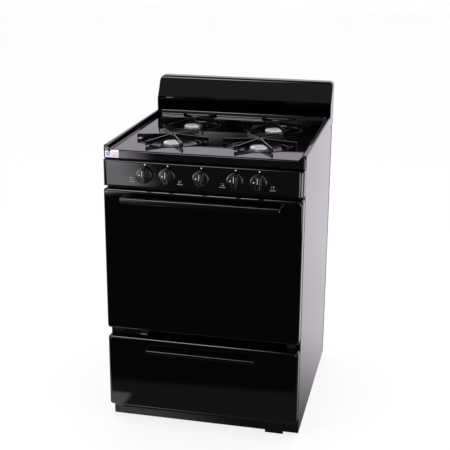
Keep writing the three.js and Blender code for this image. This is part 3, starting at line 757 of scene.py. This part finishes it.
ARM = rounded_line([
    (5, 8, 0), (70, 5.0, 30), (91, 0.05, 8), (98.5, 0.05, 0.9), (98.5, 2.4, 0.6), (109.5, 2.4, 0.6),
    (109.5, 0.05, 0.9), (114.4, 0.05, 1), (114.4, 13.4, 2.6), (95, 13.7, 12), (14, 19.45, 3), (5, 19.45, 0),
], 4) * MM
HUB = np.array([[11.5, 9], [11.5, 18.4], [10.8, 19.3], [9.9, 19.5], [8.2, 19.5], [7.4, 19.2], [7, 18.6],
                     [7, 8.6], [7.6, 8.05], [10.6, 8.05]]) * MM
for name, at in BURNERS.items():
    arm = skin(plate_with_edges(ARM, ARM_HALF, ARM_EASE))
    parts = [turned_shell(HUB, 40)] + [turn_about(arm, 360 / ARMS * i, "Z") for i in range(ARMS)]
    piece(f"star_{name}", [moved(part, (at[0], at[1], GRATE_Z)) for part in parts], f"grate_{name}",
          GRATE_ENAMEL,
          [f"grate_{name}"], sharp=38)
print("grates", len(BURNERS), "arms in each", ARMS)

# %% [markdown]
# ## Backguard
# One bent sheet stands behind the cooktop. From the front it rises in a low lip, sweeps back into a cove,
# comes forward again to the foot of the leaning face, and folds over a flat top and down the back. The fold
# line is written as corners with radii and carried along the width; near the ends the top is lowered in a
# quarter circle, which rounds the two upper corners.

# %% Backguard
GUARD_LOW, GUARD_HIGH = node_box("backguard")
GUARD_CORNER = 15 * MM


def backguard_rows():
    front, back, top = GUARD_LOW[1], GUARD_HIGH[1], GUARD_HIGH[2]
    line = rounded_line([
        (front, 880 * MM, 0), (front, 912.8 * MM, 3 * MM), (328 * MM, 933.8 * MM, 14 * MM),
        (328 * MM, 957 * MM, 10 * MM), (281.1 * MM, 957 * MM, 2.5 * MM), (314.2 * MM, top, 12 * MM),
        (back, top, 6 * MM), (back, GUARD_LOW[2], 0),
    ], 8)
    corner = np.radians(np.linspace(0, 90, 10))
    half = GUARD_HIGH[0]
    inner_half = half - GUARD_CORNER
    x = np.concatenate([inner_half + GUARD_CORNER * np.cos(corner), np.linspace(inner_half, 0, 6)[1:]])
    drop = np.concatenate([GUARD_CORNER * (1 - np.sin(corner)), np.zeros(5)])
    x, drop = np.concatenate([x, -x[-2::-1]]), np.concatenate([drop, drop[-2::-1]])
    share = np.clip((line[:, 1] - (top - 28 * MM)) / (28 * MM), 0, 1)
    z = line[None, :, 1] - drop[:, None] * share[None, :]
    return np.stack([np.repeat(x[:, None], len(line), 1), np.repeat(line[None, :, 0], len(x), 0), z], -1)


guard_rows = backguard_rows()
guard_points, guard_faces = grid(guard_rows, (0, 0.345, 0.93))
ends = []
for sign in (-1, 1):
    outline = np.array([
        [276.9, 900.2], [334, 900.2], [334, 966], [288, 966], [284, 959], [279.5, 957], [276.9, 952]]) * MM
    ends.append(carried(outline, "x", sign * 302.6 * MM, sign * 304.98 * MM))
slots = [block([-0.21 + 0.075 * i, GUARD_HIGH[1] - 0.006, 0.985],
               [-0.165 + 0.075 * i, GUARD_HIGH[1] + 0.005, 0.993],
               0.5 * MM, 3.9 * MM, "y") for i in range(6)]
columns = guard_rows.shape[1]
guard_faces.append(facing(guard_points, list(range(columns)), (1, 0, 0)))
guard_faces.append(facing(guard_points, list(range(len(guard_points) - columns, len(guard_points))),
                          (-1, 0, 0)))
backguard = piece("backguard_fold", [(guard_points, guard_faces)], "range_body", ENAMEL, ["backguard"],
                  sharp=40, sheet=1.6 * MM, cuts=slots)
piece("backguard_cheeks", ends, "range_body", ENAMEL)
print("backguard", len(backguard.data.polygons))

# %% [markdown]
# ## Side panels
# The side panels are flat sheets with a rolled front edge and a flange turned in behind the door. The
# section is carried up from the floor, and below the toe space its front is drawn back flush with the
# skirt. A matt strip closes the seam between each side and the back.

# %% Side panels
SIDE_LOW, SIDE_HIGH = node_box("right_side_panel")
TOE_Z, TOE_Y = 62 * MM, -270.5 * MM
EDGE_STRIP = 14 * MM


def side_panel(sign):
    line = rounded_line([
        (289 * MM, SIDE_LOW[1], 0), (SIDE_HIGH[0], SIDE_LOW[1], 4 * MM),
        (SIDE_HIGH[0], SIDE_HIGH[1] - EDGE_STRIP, 2.5 * MM),
        (SIDE_HIGH[0] - 6 * MM, SIDE_HIGH[1] - EDGE_STRIP + 0.5 * MM, 0),
    ], 7)
    section = np.vstack([line, inward(line, -1.6 * MM)[::-1]])
    low = section.copy()
    flush = section[:, 1] < TOE_Y
    low[flush, 1] = TOE_Y + (section[flush, 1] - SIDE_LOW[1]) * 0.2
    low[flush, 0] = np.maximum(section[flush, 0], SIDE_HIGH[0] - 2 * MM)
    rings = np.stack([lift(low, SIDE_LOW[2]), lift(low, TOE_Z), lift(section, TOE_Z + 0.05 * MM),
                      lift(section, SIDE_HIGH[2])])
    return skin(rings * np.array([sign, 1, 1]))


for side, sign in (("left", -1), ("right", 1)):
    piece(f"{side}_skin", [side_panel(sign)], "range_body", ENAMEL, [f"{side}_side_panel"])
    strip_low = [sign * (SIDE_HIGH[0] - 4 * MM), SIDE_HIGH[1] - EDGE_STRIP + 0.4 * MM, SIDE_LOW[2] + 1 * MM]
    strip_high = [sign * (SIDE_HIGH[0] - 0.2 * MM), SIDE_HIGH[1], SIDE_HIGH[2]]
    piece(f"{side}_edge_strip", [block(strip_low, strip_high, 0.4 * MM)], "range_body", MATT_BLACK)

# %% [markdown]
# ### The back
# The back is one zinc-coated sheet. Its raised field and pressed ribs are a height over a grid, from the
# distance to a rectangle with round corners, so each pressing has a soft slope like the real die mark. The
# screws are turned heads; their cross recess is painted shade, two black bars on the head.

# %% Back sheet and its screws
BACK_LOW, BACK_HIGH = node_box("rear_panel")


def rounded_distance(x, z, half_x, half_z, radius):
    """How far a point is outside a rectangle with round corners; negative inside."""
    qx, qz = np.abs(x) - half_x + radius, np.abs(z) - half_z + radius
    return np.hypot(np.maximum(qx, 0), np.maximum(qz, 0)) + np.minimum(np.maximum(qx, qz), 0) - radius


def back_rows():
    x = np.linspace(BACK_LOW[0], BACK_HIGH[0], 131)
    z = np.linspace(BACK_LOW[2], BACK_HIGH[2], 163)
    gx, gz = np.meshgrid(x, z)
    raised = soft_step(-rounded_distance(gx, gz - 0.43, 0.262, 0.33, 0.05), 0, 9 * MM)
    ribs = sum(soft_step(-rounded_distance(gx, gz - at, 0.215, 0.017, 0.017), 0,
                         9 * MM) for at in (0.26, 0.43, 0.6))
    return np.stack([gx, BACK_HIGH[1] + 2.6 * MM * raised - 2.2 * MM * ribs, gz], -1)


gas_hole = turn_about(turned(np.array([[0.1, -10], [16, -10], [16, 10], [0.1, 10]]) * MM, 40), 90, "X")
back_sheet = piece("back_sheet", [grid(back_rows(), (0, 0, 0.45))], "range_body", ZINC, ["rear_panel"],
                   sheet=1.2 * MM, cuts=[moved(gas_hole, (0.27, BACK_HIGH[1], 0.834))])


def screw(radius, height=1.6 * MM):
    """A pan-head screw along +Z with a cross recess: the recess is painted shade, two black bars on the head.
    """
    profile = rounded_line([(radius, 0, 0), (radius, height * 0.7, radius * 0.25),
                            (radius * 0.1, height, 0)], 4)
    head = turned(np.vstack([[[0.05 * MM, -0.5 * MM], [radius, -0.5 * MM]], profile,
                             [[0.05 * MM, height * 0.98]]]), 20)
    bars = [block([-radius * 0.6, -radius * 0.13, height * 0.9],
                  [radius * 0.6, radius * 0.13, height * 1.02], 0.1 * MM),
            block([-radius * 0.13, -radius * 0.6, height * 0.9],
                  [radius * 0.13, radius * 0.6, height * 1.02], 0.1 * MM)]
    return head, bars


def screws(name, places, radius, material, facing, body="range_body"):
    heads, marks = [], []
    for place in places:
        head, bars = screw(radius)
        heads.append(moved(turn_about(head, facing * -90, "X"), place))
        marks += [moved(turn_about(bar, facing * -90, "X"), place) for bar in bars]
    piece(name, heads, body, material)
    # Painted shade: black bars stand for the cross recesses.
    piece(f"{name}_recess", marks, body, RECESS_SHADE_BLACK)


back_places = [(x, BACK_HIGH[1], z) for x in (-0.29, 0.29) for z in (0.1, 0.31, 0.52, 0.73)]
back_places += [(x, BACK_HIGH[1], z) for x in (-0.15, 0, 0.15) for z in (0.075, 0.80)]
screws("back_screws", back_places, 4 * MM, STEEL, 1)
print("back", len(back_sheet.data.polygons))

# %% [markdown]
# ## Skirt, feet and bracket
# The range stands on four levelling feet: a round pad, a thread and a hexagon that takes a spanner. The skirt
# between them is the front of the base frame. At the right a small plate hangs from the skirt by two screws,
# which holds the range's foot to the floor.

# %% Feet and bracket
for foot in ("front_left", "front_right", "rear_left", "rear_right"):
    low, high = node_box(f"levelling_foot_{foot}")
    centre = ((low[0] + high[0]) / 2, (low[1] + high[1]) / 2, low[2])
    pad = rounded_line([(0.2, 0.05, 0), (18.9, 0.05, 1.5), (18.9, 4.5, 2), (12, 7.5, 6), (6.2, 9, 0)], 5) * MM
    turns = np.arange(22)
    thread = np.column_stack([4.4 + 0.5 * (turns % 2), 9.3 + turns * (48.4 - 0) / 21]) * MM
    shaft = turned(np.vstack([pad, thread, [[0.2 * MM, 57.9 * MM]]]), 32, centre)
    flats = rounded_line([(0.2, 18, 0), (10.9, 18, 0.8), (10.9, 29.5, 0.8), (0.2, 29.5, 0)], 3) * MM
    nut = turned(flats, 6, centre)
    piece(f"foot_{foot}_screw", [shaft, nut], f"foot_{foot}", STEEL, [f"levelling_foot_{foot}"],
          sharp=30)

BRACKET_LOW, BRACKET_HIGH = node_box("levelling_bracket")
half = (BRACKET_HIGH - BRACKET_LOW)[[0, 2]] / 2
middle = (BRACKET_HIGH + BRACKET_LOW)[[0, 2]] / 2
plate_outline = np.vstack([arc(half[0] - 10 * MM, half[1] - 10 * MM, 10 * MM, 0, 90, 8),
                           arc(2 * MM - half[0], half[1] - 2 * MM, 2 * MM, 90, 180, 4),
                           [[-half[0], -half[1]], [half[0], -half[1]]]]) + middle
piece("bracket_plate", [carried(plate_outline, "y", BRACKET_LOW[1], BRACKET_HIGH[1], 0.5 * MM)], "range_body",
      HANDLE_BLACK, ["levelling_bracket"])
screws("bracket_screws", [(middle[0] + dx, BRACKET_LOW[1], middle[1] + 4 * MM) for dx in (-0.014, 0.014)],
       3.4 * MM, FRAME_BLACK, -1)

# %% [markdown]
# ## Knobs
# Each control is a black moulded knob: a thin round skirt with printed marks and an upright grip across it.
# The burner knobs carry a dot and two short marks, and the oven knob a fan of ticks. The grip is a stack of
# rounded rectangles that shrink near the top, which leaves a crisp edge for a thin highlight.

# %% Knobs
KNOBS = {name: node_box(f"knob_{name}") for name in
         ("rear_left", "front_left", "oven", "front_right", "rear_right")}
GRIP_HALF, GRIP_REACH = 7.6 * MM, 22 * MM


def flat_mark(outline, base, height=0.18 * MM):
    return skin(np.stack([lift(outline, base - 0.3 * MM), lift(outline, base + height)]))


def knob_parts():
    """The knob faces +Z here. The grip's rings are rounded rectangles that narrow slightly and round over."""
    skirt = rounded_line([(0.2, 0, 0), (24, 0, 0.3), (25, 0.5, 0.3), (25, 3.7, 0.9), (22, 4.3, 2),
                          (11, 4.7, 6), (0.2, 4.8, 0)], 5) * MM
    body = turned(skirt, 72)
    rise = np.array([3, 8, 14, 20, 22.4, 22.9, 23.25, 23.4]) * MM
    inset = np.array([0, 0.15, 0.35, 0.6, 0.75, 0.95, 1.4, 2.1]) * MM
    grip = skin(np.stack([lift(rounded(GRIP_HALF - i, GRIP_REACH - i, max(5.5 * MM - i, 0.8 * MM)), z)
                          for z, i in zip(rise, inset)]))
    return [body, grip]


def placed_on_panel(part, low, high):
    """Turns a part that faces +Z to face -Y, with its back on the knob's back."""
    turned_part = turn_about(part, 90, "X")
    return moved(turned_part, ((low[0] + high[0]) / 2, high[1], (low[2] + high[2]) / 2))


def skirt_marks(oven):
    dot = flat_mark(arc(-14, 0, 1.9, 0, 360, 20)[:-1] * MM, 4.62 * MM)
    angles = np.radians([60, 42, 24, 6, -12, -30, -48, -66, 120, 234]) if oven else np.radians([120, 234])
    marks = [dot]
    for angle in angles:
        length = 1.6 if oven and abs(np.sin(angle)) < 0.95 else 1.1
        tick = rounded(length / 2 * MM, 0.45 * MM, 0.3 * MM, 3)
        turn = np.array([[np.cos(angle), -np.sin(angle)], [np.sin(angle), np.cos(angle)]])
        marks.append(flat_mark(tick @ turn.T + 20.6 * MM * turn[:, 0], 4.42 * MM))
    return marks


for name, (low, high) in KNOBS.items():
    piece(f"control_{name}", [placed_on_panel(part, low, high) for part in knob_parts()], f"knob_{name}",
          KNOB_PLASTIC, [f"knob_{name}"], sharp=36)
    marks = skirt_marks(name == "oven")
    piece(f"marks_{name}_dot", [placed_on_panel(marks[0], low, high)], f"knob_{name}", PRINT_WHITE)
    piece(f"marks_{name}_ticks", [placed_on_panel(mark, low, high) for mark in marks[1:]], f"knob_{name}",
          PRINT_GREY)
    line = flat_mark(rounded(0.5 * MM, 9 * MM, 0.4 * MM, 3) + [0, 9 * MM], 23.4 * MM, 0.12 * MM)
    piece(f"marks_{name}_pointer", [placed_on_panel(line, low, high)], f"knob_{name}", PRINT_WHITE)
print("knobs", len(KNOBS))

# %% [markdown]
# ## Printing on the panel and a label
# The panel has a dot above each knob and a small burner map beside each burner knob, with a plain bar where
# a word would be. A paper label sits on the left of the apron. Its design is generic: a blue disc and three
# soft bars. Every print is a thin closed patch, so it keeps a true edge at any distance.

# %% Panel printing
def on_panel(outline, x, z):
    """A thin print on the panel's face, from an outline in (x, z)."""
    return carried(outline + [x, z], "y", PANEL_LOW[1] - 0.12 * MM, PANEL_LOW[1] + 0.3 * MM)


KNOB_Z = float((KNOBS["oven"][0][2] + KNOBS["oven"][1][2]) / 2)
dots, icons = [], []
for name, (low, high) in KNOBS.items():
    x = (low[0] + high[0]) / 2
    dots.append(on_panel(arc(0, 0, 1.9 * MM, 0, 360, 20)[:-1], x + 1 * MM, KNOB_Z + 31 * MM))
    if name == "oven":
        continue
    beside = x + np.sign(x) * (40 if "rear" in name else -38) * MM
    for du in (-3.2 * MM, 3.2 * MM):
        for dv in (-2.6 * MM, 2.6 * MM):
            own = (du < 0) == ("left" in name) and (dv > 0) == ("rear" in name)
            reach = 1.9 * MM if own else 1.1 * MM
            icons.append(on_panel(arc(0, 0, reach, 0, 360, 12)[:-1], beside + du, KNOB_Z - 14 * MM + dv))
    icons.append(on_panel(rounded(9 * MM, 0.7 * MM, 0.5 * MM, 3), beside, KNOB_Z - 22.5 * MM))
piece("panel_dots", dots, "range_body", PRINT_WHITE)
piece("panel_icons", icons, "range_body", PRINT_GREY)


def apron_patch(x0, x1, z0, z1, proud, disc=False):
    """A thin closed patch that follows the apron and its nose: y is the front, plus the nose's quarter
    ellipse where the height is above its start. As a disc, each half side a, b of the square becomes a
    sqrt(1 - b^2/2)."""
    a, b = np.meshgrid(np.linspace(-1, 1, 12), np.linspace(-1, 1, 24))
    if disc:
        a, b = a * np.sqrt(1 - b * b / 2), b * np.sqrt(1 - a * a / 2)
    x = (x0 + x1) / 2 + a * (x1 - x0) / 2
    z = (z0 + z1) / 2 + b * (z1 - z0) / 2
    start, tall = 895.45 * MM, 4.55 * MM
    t = np.clip((z - start) / tall, 0, 0.999)
    y = TOP_LOW[1] + NOSE * (1 - np.sqrt(1 - t * t))
    outer = np.stack([x, y - proud, z], -1)
    inner = np.stack([x, y + 0.2 * MM, z], -1)
    m, n = outer.shape[:2]
    points = np.vstack([outer.reshape(-1, 3), inner.reshape(-1, 3)])
    index = np.arange(m * n).reshape(m, n)
    faces = np.stack([index[:-1, :-1], index[:-1, 1:], index[1:, 1:], index[1:, :-1]], -1).reshape(-1, 4)
    rim = np.concatenate([index[0, :-1], index[:-1, -1], index[-1, :0:-1], index[:0:-1, 0]])
    wall = np.stack([rim, rim + m * n, np.roll(rim, -1) + m * n, np.roll(rim, -1)], -1)
    return points, faces.tolist() + (faces[:, ::-1] + m * n).tolist() + wall.tolist()


LABEL = {"x0": -299 * MM, "x1": -257 * MM, "z0": 876.5 * MM, "z1": 899.2 * MM}
piece("label_paper", [apron_patch(**LABEL, proud=0.15 * MM)], "cooktop", LABEL_WHITE)
piece("label_blue", [apron_patch(-296.5 * MM, -282.5 * MM, 881 * MM, 895 * MM, 0.22 * MM, disc=True)],
      "cooktop",
      LABEL_BLUE)
piece("label_bars", [apron_patch(-279 * MM, -260 * MM, z, z + 2.6 * MM, 0.22 * MM)
                     for z in np.array([880.5, 885.8, 891.1]) * MM], "cooktop", LABEL_MAUVE)
print("label", LABEL)

# %% [markdown]
# ## Inside the oven and the drawer
# Nothing inside shows with the door shut, but the door and the drawer open. The racks are welded wire: a
# round bar frame with thinner wires laid across it. The pan is a deep dish with a rolled lip.

# %% Oven racks
def wire_ring(half_x, half_y, corner, radius, centre):
    path = rounded(half_x, half_y, corner, 6) + np.array(centre[:2])
    ring = np.column_stack([path, np.full(len(path), centre[2])])
    along = np.roll(ring, -1, 0) - np.roll(ring, 1, 0)
    along /= np.linalg.norm(along, axis=1)[:, None]
    side = np.cross(along, [0, 0, 1.0])
    around = arc(0, 0, radius, 0, 360, 10)[:-1]
    return skin(ring[:, None] + side[:, None] * around[None, :, :1]
                + np.array([0, 0, 1.0]) * around[None, :, 1:], closed=True)


def straight_wire(a, b, radius, sides=8):
    return swept(arc(0, 0, radius, 0, 360, sides)[:-1], np.linspace(a, b, 3))


for level in ("lower", "upper"):
    low, high = node_box(f"oven_rack_{level}")
    middle = (low + high) / 2
    z = low[2] + 3 * MM
    frame_r, wire_r = 3 * MM, 1.5 * MM
    parts = [wire_ring(middle[0] - low[0] - frame_r, middle[1] - low[1] - frame_r, 12 * MM, frame_r,
                       (middle[0], middle[1], z))]
    for x in np.linspace(low[0], high[0], 19)[1:-1]:
        parts.append(straight_wire([x, low[1] + 2 * MM, z + 1.4 * MM], [x, high[1] - 2 * MM, z + 1.4 * MM],
                                   wire_r))
    for y in (low[1] + 0.12, high[1] - 0.12):
        parts.append(straight_wire([low[0] + 2 * MM, y, z - 1 * MM], [high[0] - 2 * MM, y, z - 1 * MM],
                                   1.9 * MM))
    stop = [[low[0] + 9 * MM, high[1] - 3 * MM, z], [low[0] + 9 * MM, high[1] - 3 * MM, high[2] - 3 * MM],
            [high[0] - 9 * MM, high[1] - 3 * MM, high[2] - 3 * MM], [high[0] - 9 * MM, high[1] - 3 * MM, z]]
    parts += [straight_wire(a, b, 2.2 * MM) for a, b in zip(stop[:-1], stop[1:])]
    piece(f"wire_rack_{level}", parts, f"oven_rack_{level}", CHROME_WIRE, [f"oven_rack_{level}"])

# %% [markdown]
# ### Broiler pan
# The pan is drawn from one sheet, so its rings run down the outside, over the lip and back down the inside
# as one closed skin.

# %% Broiler pan
TRAY_LOW, TRAY_HIGH = node_box("broiler_pan")
half, middle = (TRAY_HIGH - TRAY_LOW) / 2, (TRAY_HIGH + TRAY_LOW) / 2


def pan_ring(inset, z, corner):
    return lift(rounded(half[0] - inset, half[1] - inset, corner, 6) + middle[:2], z)


z0, z1 = TRAY_LOW[2], TRAY_HIGH[2]
tray = [(14, z0, 14), (11, z0 + 0.6 * MM, 15), (7.5, z0 + 5 * MM, 17), (4.6, z1 - 3.4 * MM, 18),
        (4, z1 - 2.6 * MM, 18),
        (1, z1 - 2.4 * MM, 20), (0, z1 - 1.6 * MM, 20), (0.2, z1 - 0.4 * MM, 20), (1.2, z1, 20),
        (4.4, z1, 18),
        (6.1, z1 - 2 * MM, 17), (9, z0 + 6 * MM, 16), (12, z0 + 2.4 * MM, 14), (15, z0 + 1.6 * MM, 13)]
piece("broiler_dish", [skin(np.stack([pan_ring(i * MM, z, c * MM) for i, z, c in tray]))], "broiler_set",
      BROILER_ENAMEL, ["broiler_pan"])

# %% [markdown]
# ## Parts kept from the CAD
# The oven's liner, the burner tray, the gas pipe and the frames are plain folded or turned parts whose CAD
# shape is already right. They keep it, and only get their finish.

# %% Finishes for the kept parts
KEPT = {
    "front_frame": FRAME_BLACK, "base_frame": ENAMEL, "oven_liner": OVEN_ENAMEL, "oven_floor": OVEN_ENAMEL,
    "oven_burner": STEEL, "flue_duct": ZINC, "gas_manifold": BRASS, "thermostat": STEEL,
    "pressure_regulator": CAST_ALUMINIUM, "burner_box": ZINC, "door_gasket": FIBRE,
    "door_hinge_left": FRAME_BLACK,
    "door_hinge_right": FRAME_BLACK, "drawer_box": ZINC, "broiler_grid": BROILER_ENAMEL,
}
KEPT.update({f"valve_stem_{name}": STEEL for name in KNOBS})
for name, material in KEPT.items():
    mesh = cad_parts[name].data
    mesh.materials.clear()
    mesh.materials.append(material)
left_over = [n for n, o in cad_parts.items() if not o.hide_render and n not in KEPT]
print("kept", len(KEPT), "without a finish", left_over)

# %% [markdown]
# ## Camera
# The camera stands a little to the right and above the cooktop, as a person would, with a long lens.

# %% Camera
CAMERA_PLACE = Vector((0.664, -2.9966, 1.5751))
CAMERA_YAW, CAMERA_PITCH, CAMERA_ROLL = 12.46, -17.756, 0.43
CAMERA_LENS = 78.2


def add_camera():
    data = bpy.data.cameras.new("camera")
    data.lens = CAMERA_LENS
    data.sensor_width = 36.0
    data.clip_end = 60.0
    camera = bpy.data.objects.new("camera", data)
    turn = Matrix.Rotation(np.radians(CAMERA_YAW), 4, "Z") @ Matrix.Rotation(np.radians(90 + CAMERA_PITCH),
                                                                             4, "X")
    camera.matrix_world = Matrix.Translation(CAMERA_PLACE) @ turn @ Matrix.Rotation(np.radians(CAMERA_ROLL),
                                                                                    4, "Z")
    scene.collection.objects.link(camera)
    scene.camera = camera


add_camera()
print("camera", tuple(CAMERA_PLACE), CAMERA_LENS)

# %% [markdown]
# ## Surroundings
# Gloss black enamel shows little but what it reflects, so the room is drawn for its reflections: a pale
# wall behind and beside the range, a dark room in front, a tall softbox on each side of the camera and a
# high window at the left. The room gives glossy rays its strength by direction, and every other ray an even
# white.

# %% Surroundings
ROOM_TINT = (1.0, 0.945, 1.02, 1)
DEGREES = 57.2958


def soft(tree, value, start, stop, low=0.0, high=1.0):
    """A smooth step from low to high while the value goes from start to stop."""
    node = wire(tree, "ShaderNodeMapRange", {"Value": value, "From Min": start, "From Max": stop,
                                             "To Min": low,
                                             "To Max": high}, interpolation_type="SMOOTHSTEP")
    return node.outputs["Result"]


def band(tree, value, rise, fall):
    """One between two soft edges, each a (start, stop) pair, and zero outside them."""
    return math_node(tree, "MULTIPLY", soft(tree, value, *rise), soft(tree, value, *fall, 1.0, 0.0))


def product(tree, *values):
    """The values multiplied together."""
    total = values[0]
    for value in values[1:]:
        total = math_node(tree, "MULTIPLY", total, value)
    return total


def total_of(tree, *values):
    """The values added together."""
    total = values[0]
    for value in values[1:]:
        total = math_node(tree, "ADD", total, value)
    return total


def blend(tree, share, a, b):
    """a where share is 0 and b where it is 1."""
    return wire(tree, "ShaderNodeMix", {0: share, 2: a, 3: b}).outputs[0]


def add_world():
    """Azimuth is 0 straight in front of the range and grows to the left; height is the angle above the
    horizon."""
    world = bpy.data.worlds.new("studio")
    scene.world = world
    world.use_nodes = True
    tree = world.node_tree
    tree.nodes.clear()
    direction = wire(tree, "ShaderNodeTexCoord").outputs["Generated"]
    to = wire(tree, "ShaderNodeSeparateXYZ", {"Vector": direction}).outputs
    azimuth = product(tree, math_node(tree, "ARCTAN2", product(tree, to["X"], -1.0),
                                      product(tree, to["Y"], -1.0)),
                      DEGREES)
    height = product(tree, math_node(tree, "ARCSINE", to["Z"]), DEGREES)
    back = soft(tree, height, 25.0, 40.0, 0.9, 0.1)
    front = total_of(tree, soft(tree, height, 12.0, 34.0, 0.015, 0.28),
                     soft(tree, height, 42.0, 60.0, 0.0, -0.16))
    box_height = band(tree, height, (-18.0, -16.0), (14.0, 20.0))
    left_box = product(tree, band(tree, azimuth, (16.2, 19.6), (45.0, 50.0)), box_height, 1.5)
    right_box = product(tree, band(tree, azimuth, (-30.0, -28.0), (-2.0, 0.0)), box_height, 1.5)
    window = product(tree, band(tree, azimuth, (15.0, 17.0), (58.0, 60.0)),
                     band(tree, height, (42.0, 43.5), (60.0, 62.0)), 10.0)
    room = total_of(tree, blend(tree, soft(tree, to["Y"], -0.45, 0.1), front, back), left_box, right_box,
                    window)
    glossy = wire(tree, "ShaderNodeLightPath").outputs["Is Glossy Ray"]
    painted_reflection = wire(tree, "ShaderNodeBackground", {"Color": ROOM_TINT, "Strength": room})
    even = wire(tree, "ShaderNodeBackground", {"Color": (1, 1, 1, 1), "Strength": 1.0})
    both = wire(tree, "ShaderNodeMixShader", {0: glossy, 1: even.outputs[0], 2: painted_reflection.outputs[0]})
    tree.links.new(both.outputs[0], tree.nodes.new("ShaderNodeOutputWorld").inputs["Surface"])


add_world()
scene.world.cycles.sampling_method = "NONE"
print("room", len(scene.world.node_tree.nodes), "nodes")

# %% [markdown]
# ## Floor
# The floor is plain and pale. Its reflection is painted like the room's, for glossy rays only: dim in front
# of the range, bright behind it, with painted pools of light far in front that stand for the two softboxes.

# %% Floor
FLOOR_HALF = 14.0


def floor_painted_reflection(tree, x, y):
    """The floor's painted reflection: its glow for glossy rays only, by place."""
    # Painted reflection: bright patches near, beside and under the range, and painted pools of light far out.
    near = soft(tree, total_of(tree, y, product(tree, x, 0.07)), -0.66, -0.60, 0.025, 0.14)
    skirt = product(tree, band(tree, x, (-0.33, -0.31), (-0.25, 0.15)), 0.75)
    beside = product(tree, soft(tree, x, -0.31, -0.285, 1.0, 0.0), soft(tree, y, -0.53, -0.50), 1.2)
    slant = total_of(tree, y, product(tree, math_node(tree, "ADD", x, 1.22, clamp=True), 0.9))
    far = soft(tree, slant, -2.93, -2.83, 1.0, 0.0)
    edge = total_of(tree, x, 1.15, product(tree, total_of(tree, y, 3.34), -0.443))
    gain = soft(tree, y, -4.4, -3.4, 8.0, 3.0)
    painted_left_pool = product(tree, soft(tree, edge, -0.16, 0.16, 1.0, 0.0), far, gain)
    distant = soft(tree, y, -3.03, -2.93, 1.0, 0.0)
    painted_right_pool = product(tree, band(tree, x, (0.3, 0.5), (1.6, 2.0)), distant, 4.0)
    painted_side_pool = product(tree, band(tree, x, (2.35, 2.5), (3.9, 4.1)),
                        band(tree, y, (-2.4, -2.2), (-0.5, -0.4)), 7.0)
    front = total_of(tree, near, beside, painted_left_pool, painted_right_pool, painted_side_pool, product(tree, distant, 0.07))
    rear = total_of(tree, soft(tree, y, -0.35, 0.65, 0.1, 0.88), soft(tree, y, 0.3, 1.8, 0.0, 0.15),
                    product(tree, skirt, soft(tree, y, -0.275, -0.265, 1.0, 0.0)))
    return blend(tree, math_node(tree, "GREATER_THAN", y, -0.33), front, rear)


def add_floor():
    half = FLOOR_HALF
    mesh = bpy.data.meshes.new("floor")
    mesh.from_pydata([(-half, -half, 0), (half, -half, 0), (half, half, 0), (-half, half, 0)], [],
                     [(0, 1, 2, 3)])
    floor = bpy.data.objects.new("floor", mesh)
    scene.collection.objects.link(floor)
    paint = bpy.data.materials.new("floor_white")
    paint.use_nodes = True
    tree = paint.node_tree
    shader = tree.nodes["Principled BSDF"]
    shader.inputs["Base Color"].default_value = (0.95, 0.95, 0.95, 1)
    shader.inputs["Roughness"].default_value = 0.6
    shader.inputs["Specular IOR Level"].default_value = 0.1
    place = wire(tree, "ShaderNodeTexCoord").outputs["Object"]
    at = wire(tree, "ShaderNodeSeparateXYZ", {"Vector": place}).outputs
    kind = wire(tree, "ShaderNodeLightPath").outputs
    # Painted reflection: the floor glows with this for glossy rays only.
    painted_reflection = wire(tree, "ShaderNodeEmission", {"Color": ROOM_TINT,
                                                 "Strength": floor_painted_reflection(tree, at["X"], at["Y"])})
    white = wire(tree, "ShaderNodeEmission", {"Color": (1, 1, 1, 1), "Strength": 1.0})
    lifted = product(tree, kind["Is Camera Ray"], 0.8)
    seen = wire(tree, "ShaderNodeMixShader", {0: lifted, 1: shader.outputs[0], 2: white.outputs[0]})
    both = wire(tree, "ShaderNodeMixShader", {0: kind["Is Glossy Ray"], 1: seen.outputs[0],
                                              2: painted_reflection.outputs[0]})
    tree.links.new(both.outputs[0], tree.nodes["Material Output"].inputs["Surface"])
    paint.cycles.emission_sampling = "NONE"
    mesh.materials.append(paint)


add_floor()
print("floor", FLOOR_HALF * 2)

# %% [markdown]
# ## Softboxes
# Two area lights give the paper, the plastic and the zinc their soft shading. They are kept out of
# reflections, because the room already draws what the enamel mirrors.

# %% Softboxes
def add_softbox(name, place, target, width, height, power):
    data = bpy.data.lights.new(name, "AREA")
    data.shape = "RECTANGLE"
    data.size, data.size_y = width, height
    data.energy = power
    light = bpy.data.objects.new(name, data)
    away = Vector(place) - Vector(target)
    light.matrix_world = Matrix.Translation(place) @ away.to_track_quat("Z", "Y").to_matrix().to_4x4()
    light.visible_camera = False
    light.visible_glossy = False
    scene.collection.objects.link(light)


add_softbox("softbox_left", (-2.3, -2.9, 1.0), (0, -0.3, 0.8), 1.3, 1.9, 60)
add_softbox("softbox_top", (0.3, 0.4, 2.9), (0, 0, 0.9), 2.0, 2.0, 35)
scene.view_settings.view_transform = "Standard"
print("softboxes", 2)
